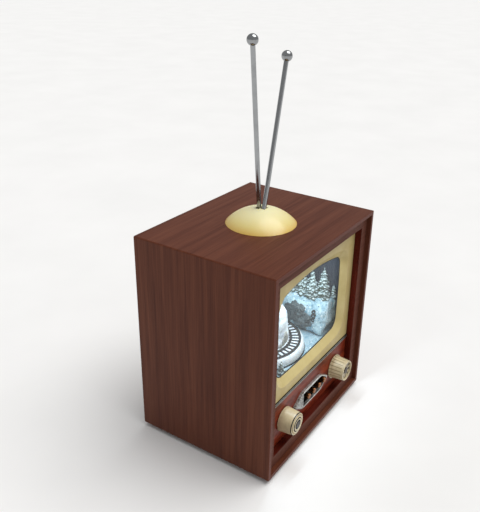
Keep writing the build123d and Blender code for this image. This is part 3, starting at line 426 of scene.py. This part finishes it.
def double_strip():
    """Bright strip of two beads with painted shade as dark lines above, between and below them."""
    finish = Finish("chrome_beads", Metallic=0.9)
    low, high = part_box("trim_strip")
    height = finish.calc("DIVIDE", finish.calc("SUBTRACT", finish.part(finish.place(), 2), low.z), high.z - low.z)
    # The dark lines are painted shade in the groove between the beads and along the strip's edges.
    beads = finish.ramp(height, (0.0, rgb(26, 24, 24)), (0.22, rgb(190, 190, 186)), (0.4, rgb(20, 19, 19)),
                        (0.6, rgb(20, 19, 19)), (0.78, rgb(205, 205, 200)), (0.98, rgb(26, 24, 24)))
    smudge = finish.noise(140.0, 4, 0.6)
    finish.set("Base Color", finish.mix(finish.ramp(smudge, (0.45, 0.0), (0.8, 0.6)), beads, rgb(70, 62, 54)))
    finish.set("Roughness", finish.ramp(smudge, (0.3, 0.22), (0.75, 0.4)))
    finish.bump(finish.noise(1.0, 3, 0.6, finish.place((60, 900, 900))), 0.012 * MM, 0.4)
    return finish.material


def engraved_silver():
    """Grey silver plate whose left end carries a close engraved pattern."""
    finish = Finish("surround_silver", Metallic=0.85)
    scroll = finish.noise(520.0, 3, 0.6, distortion=2.5)
    on_end = finish.calc("LESS_THAN", finish.part(finish.place(), 0), -18.0 * MM)
    depth = finish.calc("MULTIPLY", finish.ramp(scroll, (0.44, 1.0), (0.56, 0.0)), on_end)
    smudge = finish.noise(200.0, 4, 0.6)
    plate = finish.ramp(smudge, (0.35, rgb(184, 186, 182)), (0.65, rgb(222, 224, 222)))
    finish.set("Base Color", finish.mix(depth, plate, rgb(84, 80, 74)))
    finish.set("Roughness", finish.ramp(smudge, (0.3, 0.3), (0.75, 0.42)))
    finish.bump(depth, 0.15 * MM, 0.8)
    return finish.material


def frame_wood():
    """Stepped frame: plain brown on its flat steps, glossy dark red on the risers between them."""
    finish = Finish("frame_wood", Coat_Weight=0.03, Coat_Roughness=0.15, Specular_IOR_Level=0.06)
    fine = finish.noise(1.0, 4, 0.6, finish.place((30, 900, 900)))
    step = finish.ramp(fine, (0.32, rgb(82, 48, 38)), (0.7, rgb(102, 62, 50)))
    riser = finish.ramp(fine, (0.32, rgb(62, 18, 10)), (0.7, rgb(94, 30, 18)))
    on_step = finish.ramp(finish.facing(1), (0.4, 0.0), (0.7, 1.0))
    finish.set("Base Color", finish.mix(on_step, riser, step))
    finish.set("Roughness", finish.ramp(fine, (0.3, 0.6), (0.7, 0.48)))
    finish.bump(fine, 0.04 * MM, 0.5)
    return finish.material


def clear_sheet():
    """Thin clear window with a few smears."""
    finish = Finish("clear_window", Base_Color=rgb(225, 232, 236), Alpha=0.07)
    finish.set("Roughness", finish.ramp(finish.noise(30.0, 4), (0.4, 0.03), (0.7, 0.12)))
    return finish.material


FINISHES = {
    "cabinet_wood": veneer(),
    "frame_wood": frame_wood(),
    "block_wood": stained("block_wood", rgb(168, 126, 84), rgb(204, 166, 120), (900, 30, 900)),
    "bezel_cream": moulded("bezel_cream", rgb(192, 175, 124), rgb(180, 161, 107), 0.36, Specular_IOR_Level=0.2),
    "black_rubber": moulded("black_rubber", rgb(34, 34, 38), rgb(24, 24, 28), 0.6),
    "clear_window": clear_sheet(),
    "chrome": metal("chrome", rgb(168, 170, 172), 0.14, (60, 900, 900)),
    "panel_red": panel_lacquer(),
    "black_plastic": moulded("black_plastic", rgb(30, 29, 30), rgb(20, 19, 20), 0.45),
    "knob_ivory": moulded("knob_ivory", rgb(208, 192, 156), rgb(176, 158, 124), 0.38),
    "steel": metal("steel", rgb(168, 170, 172), 0.3),
    "brass": metal("brass", rgb(196, 158, 88), 0.28, tarnish=rgb(120, 88, 48)),
    "dome_cream": dome_paint(),
    "antenna_chrome": metal("antenna_chrome", rgb(160, 162, 164), 0.14, (1200, 1200, 60)),
    "night_blue": dusk_paint(),
    "snow": snow("snow", rgb(176, 208, 228), rgb(240, 248, 252)),
    "tree_green": frosted_needles(),
    "rail_black": moulded("rail_black", rgb(18, 18, 22), rgb(10, 10, 13), 0.4, Specular_IOR_Level=0.2),
    "train_red": moulded("train_red", rgb(168, 32, 28), rgb(136, 22, 20), 0.3, Coat_Weight=0.4),
    "gear_nylon": moulded("gear_nylon", rgb(224, 220, 204), rgb(208, 202, 184), 0.45),
    "motor_zinc": metal("motor_zinc", rgb(158, 160, 162), 0.42),
    "board_green": moulded("board_green", rgb(38, 94, 58), rgb(26, 74, 44), 0.35),
    "lamp_white": glowing("lamp_white", rgb(214, 236, 255), 6.0),
    "magnet_grey": moulded("magnet_grey", rgb(66, 66, 70), rgb(50, 50, 54), 0.6),
    "cone_paper": moulded("cone_paper", rgb(52, 48, 44), rgb(38, 35, 32), 0.85, 0.08, 600.0),
    "back_board": stained("back_board", rgb(84, 52, 34), rgb(112, 74, 50), (260, 260, 260)),
    "back_plastic": moulded("back_plastic", rgb(74, 46, 32), rgb(60, 36, 25), 0.5),
    "cell_wrap": moulded("cell_wrap", rgb(196, 152, 60), rgb(168, 124, 44), 0.3),
    "foot_brown": moulded("foot_brown", rgb(70, 40, 30), rgb(52, 29, 22), 0.6),
    "button_copper": metal("button_copper", rgb(150, 98, 62), 0.24, tarnish=rgb(84, 48, 28)),
}
SNOW_BRIGHT = snow("snow_bright", rgb(206, 222, 232), rgb(236, 243, 247), 0.4, 0.3)
SNOW_SLOPE = snow("snow_slope", rgb(112, 156, 176), rgb(194, 222, 230), 1.4)
SNOW_FLAT = snow("snow_flat", rgb(124, 162, 180), rgb(172, 198, 208), 0.3, 0.5)
ROCK = rock("cliff_rock", rgb(24, 30, 34), rgb(88, 100, 103))
ROCK_PALE = rock("hill_rock", rgb(70, 72, 70), rgb(158, 160, 152))

for entry in frame["record"]["subparts"]:
    frame["nodes"][entry["node"]].data.materials[0] = FINISHES[entry["material_slot"]]
frame["nodes"]["volume_knob"].data.materials[0] = ring_knob()
frame["nodes"]["selector_knob"].data.materials[0] = fluted_knob()
frame["nodes"]["snow_ground"].data.materials[0] = SNOW_FLAT
frame["nodes"]["trim_strip"].data.materials[0] = double_strip()
frame["nodes"]["button_surround"].data.materials[0] = engraved_silver()


# ---- Mesh tools ------------------------------------------------------------
def piece(name, bm, material, body, slot, *replaced, smooth=True):
    """Turns a bmesh into a piece that rides on a body and stands for CAD nodes."""
    mesh = bpy.data.meshes.new(name)
    bm.to_mesh(mesh)
    bm.free()
    for face in mesh.polygons:
        face.use_smooth = smooth
    mesh.materials.append(material)
    made = bpy.data.objects.new(name, mesh)
    bpy.context.scene.collection.objects.link(made)
    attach(made, body)
    if replaced:
        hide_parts(*replaced)
    return made


def solid_copy(node, voxel, rounds):
    """A CAD node's shape as one even, softened mesh."""
    bm = bmesh.new()
    bm.from_mesh(frame["nodes"][node].data)
    bmesh.ops.remove_doubles(bm, verts=bm.verts, dist=0.01 * MM)
    mesh = bpy.data.meshes.new(node + "_copy")
    bm.to_mesh(mesh)
    bm.free()
    holder = bpy.data.objects.new(mesh.name, mesh)
    bpy.context.scene.collection.objects.link(holder)
    even = holder.modifiers.new("even", "REMESH")
    even.mode = "VOXEL"
    even.voxel_size = voxel
    shape = bpy.data.meshes.new_from_object(holder.evaluated_get(bpy.context.evaluated_depsgraph_get()))
    bpy.data.objects.remove(holder)
    soft = bmesh.new()
    soft.from_mesh(shape)
    for _ in range(rounds):
        bmesh.ops.smooth_vert(soft, verts=soft.verts, factor=0.5, use_axis_x=True, use_axis_y=True, use_axis_z=True)
    soft.normal_update()
    return soft


def roughen(bm, layers, keep=lambda place: 1.0):
    """Moves each point along its normal by layers of (wavelength, depth) noise, in millimetres."""
    bm.normal_update()
    moves = []
    for vert in bm.verts:
        amount = 0.0
        for wavelength, depth in layers:
            amount += depth * MM * noise.noise(vert.co / (wavelength * MM))
        moves.append(vert.normal * amount * keep(vert.co))
    for vert, move in zip(bm.verts, moves):
        vert.co += move


def stay_in(bm, node):
    """Keeps every point inside a CAD node's box."""
    low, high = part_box(node)
    for vert in bm.verts:
        for axis in range(3):
            vert.co[axis] = min(max(vert.co[axis], low[axis]), high[axis])


def clear_of_table(bm, gap, below):
    """Pushes points lower than a height outwards until they clear the turning table's rim by a gap."""
    centre = middle("track_table")
    reach = (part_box("track_table")[1].x - centre.x) + gap
    for vert in bm.verts:
        away = Vector((vert.co.x - centre.x, vert.co.y - centre.y, 0))
        if vert.co.z < below and away.length < reach:
            away.normalize()
            vert.co.x = centre.x + away.x * reach
            vert.co.y = centre.y + away.y * reach


def boulder(bm, place, size, bite, detail=5):
    """Adds one faceted stone to a bmesh."""
    made = bmesh.ops.create_icosphere(bm, subdivisions=detail, radius=1.0)
    turn = Matrix.Rotation(dice.uniform(0, math.tau), 3, Vector((dice.random(), dice.random(), dice.random())))
    offset = Vector((dice.uniform(0, 9), dice.uniform(0, 9), dice.uniform(0, 9)))
    for vert in made["verts"]:
        facet = noise.voronoi(vert.co * 1.4 + offset)[0]
        grit = 0.16 * noise.noise(vert.co * 4.5 + offset) + 0.08 * noise.noise(vert.co * 12 + offset)
        vert.co *= 1.0 - bite * (facet[1] - facet[0]) + grit
        vert.co = turn @ vert.co
        vert.co = Vector((vert.co.x * size.x, vert.co.y * size.y, vert.co.z * size.z)) + place


def box_mesh(bm, centre, size, round_by, turn=None):
    """Adds a box with rounded edges to a bmesh, turned by a matrix about the origin."""
    made = bmesh.ops.create_cube(bm, size=1.0)
    bmesh.ops.scale(bm, vec=size, verts=made["verts"])
    edges = list({edge for vert in made["verts"] for edge in vert.link_edges})
    rounded = bmesh.ops.bevel(bm, geom=edges, offset=round_by, segments=2, affect="EDGES", clamp_overlap=True)
    verts = list({vert for face in rounded["faces"] for vert in face.verts})
    bmesh.ops.translate(bm, vec=centre, verts=verts)
    if turn:
        bmesh.ops.transform(bm, matrix=turn, verts=verts)


def lathe_mesh(bm, profile, axis_turn, place, turn=None, steps=24):
    """Adds a turned shape: profile is (radius, height) pairs, spun about Z, then turned and moved."""
    rings = []
    for radius, height in profile:
        ring = []
        for step in range(steps):
            angle = math.tau * step / steps
            point = axis_turn @ Vector((radius * math.cos(angle), radius * math.sin(angle), height)) + place
            ring.append(bm.verts.new(turn @ point if turn else point))
        rings.append(ring)
    for lower, upper in zip(rings, rings[1:]):
        for step in range(steps):
            after = (step + 1) % steps
            bm.faces.new((lower[step], lower[after], upper[after], upper[step]))
    bm.faces.new(list(reversed(rings[0])))
    bm.faces.new(rings[-1])


# ---- Snow, hill and rock -----------------------------------------------------
HALF_RAIL = 0.55 * MM
RAIL_GAP = 9.6 * MM  # between the two rails' middles
HILL_RISE = 1.2  # the hill's height over the CAD hill's
table = middle("track_table")
table_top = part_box("track_table")[1].z
ground_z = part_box("snow_ground")[1].z
front_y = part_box("cabinet_shell")[0].y


def spot(x, depth, z):
    """Point from millimetres: across, behind the cabinet's front, and above the floor."""
    return Vector((x * MM, front_y + depth * MM, z * MM))


def make_mountain():
    bm = solid_copy("mountain", 1.5 * MM, 45)
    roughen(bm, [(30, 6.0), (10, 2.4), (4, 0.8)])
    stay_in(bm, "mountain")
    clear_of_table(bm, 1.0 * MM, table_top + 20 * MM)
    piece("snow_mountain", bm, SNOW_SLOPE, "cabinet", "snow", "mountain")


def make_cliff():
    """Dark rock face on the side of the mound towards the track."""
    bm = bmesh.new()
    stones = [(46, 71, 100, 7), (46, 66, 104, 8), (46, 60, 107, 8), (45, 54, 107, 8), (45, 47, 100, 8)]
    stones += [(46, 43, 92, 6), (46, 61, 101, 11), (46, 68, 98, 8), (45, 53, 98, 10), (45, 48, 94, 8)]
    for x, depth, z, radius in stones:
        boulder(bm, spot(x, depth, z), Vector((0.6, 1.0, 1.0)) * radius * MM, 0.42)
    roughen(bm, [(6, 2.4), (2.5, 1.0)])
    clear_of_table(bm, 1.2 * MM, table_top + 40 * MM)
    stay_in(bm, "mountain")
    piece("cliff_rock", bm, ROCK, "cabinet", "snow")


def make_disc():
    """Turning disc with a softly rounded rim, for the track to stand on."""
    low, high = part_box("track_table")
    foot_r = high.x - table.x
    flat_r = foot_r - 3.6 * MM
    foot_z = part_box("snow_ground")[1].z + 1.0 * MM
    profile = [(8 * MM, low.z), (8 * MM, foot_z), (foot_r - 0.5 * MM, foot_z), (foot_r, foot_z + 0.5 * MM)]
    for step in range(1, 9):
        turn = math.pi / 2 * step / 8
        profile.append((flat_r + (foot_r - flat_r) * math.cos(turn), foot_z + (high.z - foot_z) * math.sin(turn)))
    profile.append((0.5 * MM, high.z))
    bm = bmesh.new()
    lathe_mesh(bm, profile, Matrix.Identity(3), Vector((table.x, table.y, 0)), steps=120)
    piece("track_disc", bm, SNOW_BRIGHT, "turntable", "snow", "track_table")


def make_rail_heads():
    """Flat blackened heads on the two rails, a little wider than the rails themselves."""
    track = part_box("rail_ring")
    outer_r = track[1].x - table.x - HALF_RAIL
    bm = bmesh.new()
    steps = 144
    foot_half, head_half = 0.85 * MM, 0.75 * MM
    foot_z, head_z = track[1].z - 0.6 * MM, track[1].z + 0.1 * MM
    for radius in (outer_r, outer_r - RAIL_GAP):
        corners = [(radius - foot_half, foot_z), (radius + foot_half, foot_z),
                   (radius + head_half, head_z), (radius - head_half, head_z)]
        rings = []
        for step in range(steps):
            angle = math.tau * step / steps
            rings.append([bm.verts.new((table.x + out * math.cos(angle), table.y + out * math.sin(angle), height))
                          for out, height in corners])
        for step in range(steps):
            here, after = rings[step], rings[(step + 1) % steps]
            for corner in range(4):
                beside = (corner + 1) % 4
                bm.faces.new((here[corner], after[corner], after[beside], here[beside]))
    bmesh.ops.recalc_face_normals(bm, faces=bm.faces)
    piece("rail_heads", bm, FINISHES["rail_black"], "turntable", "rail_black", smooth=False)


def make_hill():
    """Snow-capped hill inside the track, with bare rock round its foot."""
    bm = solid_copy("table_hill", 1.2 * MM, 6)
    roughen(bm, [(14, 2.6), (5, 1.2)])
    stay_in(bm, "table_hill")
    for vert in bm.verts:
        vert.co.z = table_top + (vert.co.z - table_top) * (HILL_RISE if vert.co.z > table_top else 1.0)
    piece("snow_hill", bm, SNOW_BRIGHT, "turntable", "snow", "table_hill")
    stones = bmesh.new()
    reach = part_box("table_hill")[1].x - table.x
    for step in range(15):
        angle = math.radians(-150 + step * 9 + dice.uniform(-2, 2))
        size = (3.6 + 1.6 * math.sin(step * 0.9)) * MM
        out = reach - size * 0.35
        height = table_top + (1.5 + 3.0 * (step % 3)) * MM
        place = Vector((table.x + out * math.cos(angle), table.y + out * math.sin(angle), height))
        boulder(stones, place, Vector((1, 1, 1.3)) * size, 0.3, 3)
    limit = reach + 1.0 * MM
    for vert in stones.verts:
        away = Vector((vert.co.x - table.x, vert.co.y - table.y, 0))
        if away.length > limit:
            vert.co.x, vert.co.y = table.x + away.x / away.length * limit, table.y + away.y / away.length * limit
        vert.co.z = max(vert.co.z, table_top)
    piece("hill_rock", stones, ROCK_PALE, "turntable", "snow", smooth=False)


# ---- Trees -------------------------------------------------------------------
def branch(bm, root, tip, width):
    """Adds one drooping tuft: a flat spindle from root to tip."""
    along = tip - root
    side = along.cross(Vector((0, 0, 1))).normalized()
    over = side.cross(along).normalized()
    rings = []
    for share, girth in ((0.0, 0.5), (0.35, 1.0), (0.75, 0.8)):
        centre = root + along * share
        ring = []
        for corner in range(5):
            angle = math.tau * corner / 5
            wide = side * math.cos(angle) * width * girth * dice.uniform(0.8, 1.25)
            thick = over * math.sin(angle) * width * girth * 0.55 * dice.uniform(0.7, 1.3)
            ring.append(bm.verts.new(centre + wide + thick))
        rings.append(ring)
    point = bm.verts.new(tip)
    for lower, upper in zip(rings, rings[1:]):
        for corner in range(5):
            after = (corner + 1) % 5
            bm.faces.new((lower[corner], lower[after], upper[after], upper[corner]))
    for corner in range(5):
        bm.faces.new((rings[-1][corner], rings[-1][(corner + 1) % 5], point))
    bm.faces.new(list(reversed(rings[0])))


def tree(bm, foot, crown, height):
    """Adds one small evergreen: a stem and whorls of tufts that get shorter towards the top."""
    lathe_mesh(bm, [(0.09 * crown, 0), (0.05 * crown, height * 0.6), (0.02 * crown, height)],
               Matrix.Identity(3), foot, steps=8)
    whorls = max(6, int(height / (3.0 * MM)))
    for whorl in range(whorls):
        share = whorl / whorls
        level = foot + Vector((0, 0, height * (0.10 + 0.86 * share)))
        reach = crown * (1.0 - share) ** 0.6 * dice.uniform(0.75, 1.05) + 0.8 * MM
        tufts = max(6, int(9 * (1.0 - share) + 5))
        for tuft in range(tufts):
            angle = math.tau * (tuft + 0.5 * (whorl % 2)) / tufts + dice.uniform(-0.2, 0.2)
            out = Vector((math.cos(angle), math.sin(angle), 0))
            length = reach * dice.uniform(0.6, 1.0)
            droop = Vector((0, 0, -length * dice.uniform(0.25, 0.45)))
            start = level + Vector((0, 0, dice.uniform(-1.2, 1.2) * MM))
            branch(bm, start, start + out * length + droop, max(1.1 * MM, reach * dice.uniform(0.22, 0.38)))
    branch(bm, foot + Vector((0, 0, height * 0.9)), foot + Vector((0.2 * MM, 0, height)), 0.5 * MM)


def make_trees():
    """Thirteen trees in millimetres: x, depth, foot height, crown radius and height."""
    mound_z, grass_z = 118, 83.5
    spots = [(67, 37, mound_z, 10.5, 37), (73.5, 27.5, mound_z, 4.2, 16), (61, 48, mound_z, 10.5, 34)]
    spots += [(62, 60, mound_z, 10.5, 36), (60, 72, mound_z, 10.5, 38), (66, 86, mound_z, 11.5, 44)]
    spots += [(48, 108, 158, 14.5, 42), (30, 103, 148, 13.5, 40), (10, 110, 162, 12.5, 36)]
    spots += [(-24, 112, 166, 12.5, 34), (-56, 106, 154, 12.5, 42)]
    spots += [(-70, 30, grass_z, 6.6, 23), (-39.5, 25.5, grass_z, 5.4, 14.5)]
    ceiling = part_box("lamp_board")[0].z / MM
    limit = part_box("mountain")[1]
    for number, (x, depth, z, crown, height) in enumerate(spots, start=1):
        bm = bmesh.new()
        height = min(height, ceiling - z - 3)
        tree(bm, spot(x, depth, z), crown * MM, height * MM)
        for vert in bm.verts:
            vert.co.x = min(vert.co.x, limit.x)
            vert.co.y = min(vert.co.y, limit.y)
        made = piece(f"tree_{number:02d}", bm, FINISHES["tree_green"], "cabinet", "tree_green")
        if number == 1:
            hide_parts("scene_trees")


# ---- Curled twig on the slope ------------------------------------------------
def make_twig():
    """A small bare twig of three curls, standing in the snow beside the rock."""
    curve = bpy.data.curves.new("curled_twig", "CURVE")
    curve.dimensions = "3D"
    curve.bevel_depth = 0.6 * MM
    curve.bevel_resolution = 3
    mound = BVHTree.FromObject(bpy.data.objects["snow_mountain"], bpy.context.evaluated_depsgraph_get())
    inward = Vector((0.78, 0.62, 0))
    base = mound.ray_cast(spot(14, 12, 102), inward)[0] - inward * 1.8 * MM
    for start, radius in ((0, 3.2), (4.8, 3.6), (9.6, 2.7)):
        line = curve.splines.new("NURBS")
        turns = 14
        line.points.add(turns - 1)
        for step, point in enumerate(line.points):
            angle = 1.6 * math.tau * step / turns
            size = radius * (0.35 + 0.65 * step / turns) * MM
            curl = Vector((0.85, -0.5, 0)) * math.cos(angle) * size + Vector((0, 0, 1)) * math.sin(angle) * size
            point.co = (*(base + curl + Vector((0, 0, start * MM))), 1.0)
        line.order_u = 3
        line.use_endpoint_u = True
    made = bpy.data.objects.new("curled_twig", curve)
    bpy.context.scene.collection.objects.link(made)
    curve.materials.append(FINISHES["rail_black"])
    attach(made, "cabinet")


# ---- Train --------------------------------------------------------------------
def make_train():
    """Engine and two cars on the track, each with its wheels."""
    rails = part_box("rail_ring")
    track_r = ((rails[1].x - rails[0].x) / 2) - 5.3 * MM
    rail_top = rails[1].z
    lying = Matrix.Rotation(math.radians(90), 3, "Y")
    across = Matrix.Rotation(math.radians(90), 3, "X")
    red = bmesh.new()
    dark = bmesh.new()
    bright = bmesh.new()
    for index, degrees in enumerate((180, 202, 222)):
        angle = math.radians(degrees)
        place = Vector((table.x + track_r * math.cos(angle), table.y + track_r * math.sin(angle), rail_top))
        turn = Matrix.Translation(place) @ Matrix.Rotation(angle + math.pi / 2, 4, "Z")
        wheels = (-4.6, -0.4, 4.0) if index == 0 else (-3.6, 3.6)
        for along in wheels:
            for side in (-3.5, 2.7):
                lathe_mesh(dark, [(1.7 * MM, 0), (1.9 * MM, 0.3 * MM), (1.9 * MM, 0.6 * MM), (1.5 * MM, 0.8 * MM)],
                           across, Vector((along, side + 0.8, 1.95)) * MM, turn)
        if index == 0:
            box_mesh(dark, Vector((0, 0, 2.6)) * MM, Vector((14.6, 5.6, 1.6)) * MM, 0.3 * MM, turn)
            boiler = [(2.5 * MM, -5.2 * MM), (2.9 * MM, -4.8 * MM), (2.9 * MM, 3 * MM), (2.5 * MM, 3.2 * MM)]
            lathe_mesh(red, boiler, lying, Vector((-1.8, 0, 6.3)) * MM, turn)
            box_mesh(red, Vector((3.9, 0, 7.0)) * MM, Vector((5.4, 6.4, 7.4)) * MM, 0.4 * MM, turn)
            box_mesh(dark, Vector((3.9, 0, 11.2)) * MM, Vector((6.6, 7.2, 0.9)) * MM, 0.35 * MM, turn)
            lathe_mesh(dark, [(0.8 * MM, 0), (0.8 * MM, 2.4 * MM), (1.3 * MM, 3.4 * MM), (1.3 * MM, 3.8 * MM)],
                       Matrix.Identity(3), Vector((-5.2, 0, 8.9)) * MM, turn)
            lathe_mesh(bright, [(1.0 * MM, 0), (1.0 * MM, 0.6 * MM), (0.5 * MM, 1.3 * MM)], Matrix.Identity(3),
                       Vector((-1.2, 0, 9.0)) * MM, turn)
            lathe_mesh(bright, [(1.0 * MM, -0.5 * MM), (1.0 * MM, 0.4 * MM)], lying,
                       Vector((-7.0, 0, 7.4)) * MM, turn)
        else:
            box_mesh(dark, Vector((0, 0, 2.6)) * MM, Vector((11.8, 5.8, 1.4)) * MM, 0.3 * MM, turn)
            box_mesh(red, Vector((0, 0, 6.6)) * MM, Vector((11.2, 6.6, 6.8)) * MM, 0.4 * MM, turn)
            box_mesh(dark, Vector((0, 0, 10.6)) * MM, Vector((11.9, 7.2, 1.4)) * MM, 0.6 * MM, turn)
            for along in (-3.4, 0, 3.4):
                box_mesh(bright, Vector((along, 0, 7.6)) * MM, Vector((2.0, 6.9, 2.4)) * MM, 0.2 * MM, turn)
    piece("train_bodies", red, FINISHES["train_red"], "turntable", "train_red", "toy_train", smooth=False)
    piece("train_underframes", dark, FINISHES["rail_black"], "turntable", "rail_black", smooth=False)
    piece("train_trim", bright, FINISHES["brass"], "turntable", "brass", smooth=False)


make_mountain()
make_cliff()
make_disc()
make_rail_heads()
make_hill()
make_trees()
make_twig()
make_train()


# ---- Floor, lights and camera ---------------------------------------------------
def make_floor():
    """A wide, faintly uneven pale sheet."""
    bm = bmesh.new()
    bmesh.ops.create_grid(bm, x_segments=8, y_segments=8, size=25.0)
    mesh = bpy.data.meshes.new("floor")
    bm.to_mesh(mesh)
    bm.free()
    finish = Finish("floor_paper", Roughness=0.9, Specular_IOR_Level=0.1)
    tone = finish.ramp(finish.noise(6.0, 3), (0.3, rgb(236, 236, 236)), (0.7, rgb(240, 240, 240)))
    finish.set("Base Color", tone)
    mesh.materials.append(finish.material)
    floor = bpy.data.objects.new("floor", mesh)
    bpy.context.scene.collection.objects.link(floor)


def add_light(name, kind, strength, colour, place, aim, **settings):
    light = bpy.data.lights.new(name, kind)
    light.energy = strength
    light.color = colour
    for label, value in settings.items():
        setattr(light, label, value)
    holder = bpy.data.objects.new(name, light)
    holder.location = place
    holder.rotation_euler = (aim - place).to_track_quat("-Z", "Y").to_euler()
    bpy.context.scene.collection.objects.link(holder)
    return holder


def make_lights():
    world = bpy.data.worlds.new("studio")
    world.use_nodes = True
    world.node_tree.nodes["Background"].inputs["Color"].default_value = (1.0, 1.0, 1.0, 1.0)
    world.node_tree.nodes["Background"].inputs["Strength"].default_value = 0.42
    bpy.context.scene.world = world
    centre = middle("cabinet_shell")
    add_light("sky_panel", "SUN", 2.3, (1.0, 0.99, 0.97), centre + Vector((0.25, -0.30, 0.95)), centre,
              angle=math.radians(50))
    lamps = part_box("scene_lamps")
    lamp_y = (lamps[0].y + lamps[1].y) / 2
    strip = add_light("lamp_strip", "AREA", 0.15, (0.82, 0.93, 1.0), Vector((0, lamp_y, lamps[0].z - 0.5 * MM)),
                      Vector((0, lamp_y + 0.035, ground_z)), shape="RECTANGLE",
                      size=lamps[1].x - lamps[0].x, size_y=12 * MM)
    strip.visible_camera = False


def make_camera():
    """Three-quarter view from the set's left front, seen a little from above."""
    azimuth, elevation, roll = math.radians(-58.4), math.radians(24.4), math.radians(1.73)
    data = bpy.data.cameras.new("camera")
    data.sensor_width = 36.0
    data.lens = 45.35
    data.shift_x = -0.0488
    data.shift_y = -0.0137
    data.clip_start = 0.01
    data.clip_end = 100.0
    camera = bpy.data.objects.new("camera", data)
    back = Vector((math.sin(azimuth) * math.cos(elevation), -math.cos(azimuth) * math.cos(elevation),
                   math.sin(elevation)))
    right = Vector((math.cos(azimuth), math.sin(azimuth), 0))
    up = back.cross(right)
    rolled_right = right * math.cos(roll) + up * math.sin(roll)
    rolled_up = up * math.cos(roll) - right * math.sin(roll)
    turn = Matrix((rolled_right, rolled_up, back)).transposed().to_4x4()
    camera.matrix_world = Matrix.Translation(Vector((-0.5028, -0.3123, 0.4602))) @ turn
    bpy.context.scene.collection.objects.link(camera)
    bpy.context.scene.camera = camera


make_floor()
make_lights()
make_camera()
bpy.context.scene.view_settings.view_transform = "Standard"
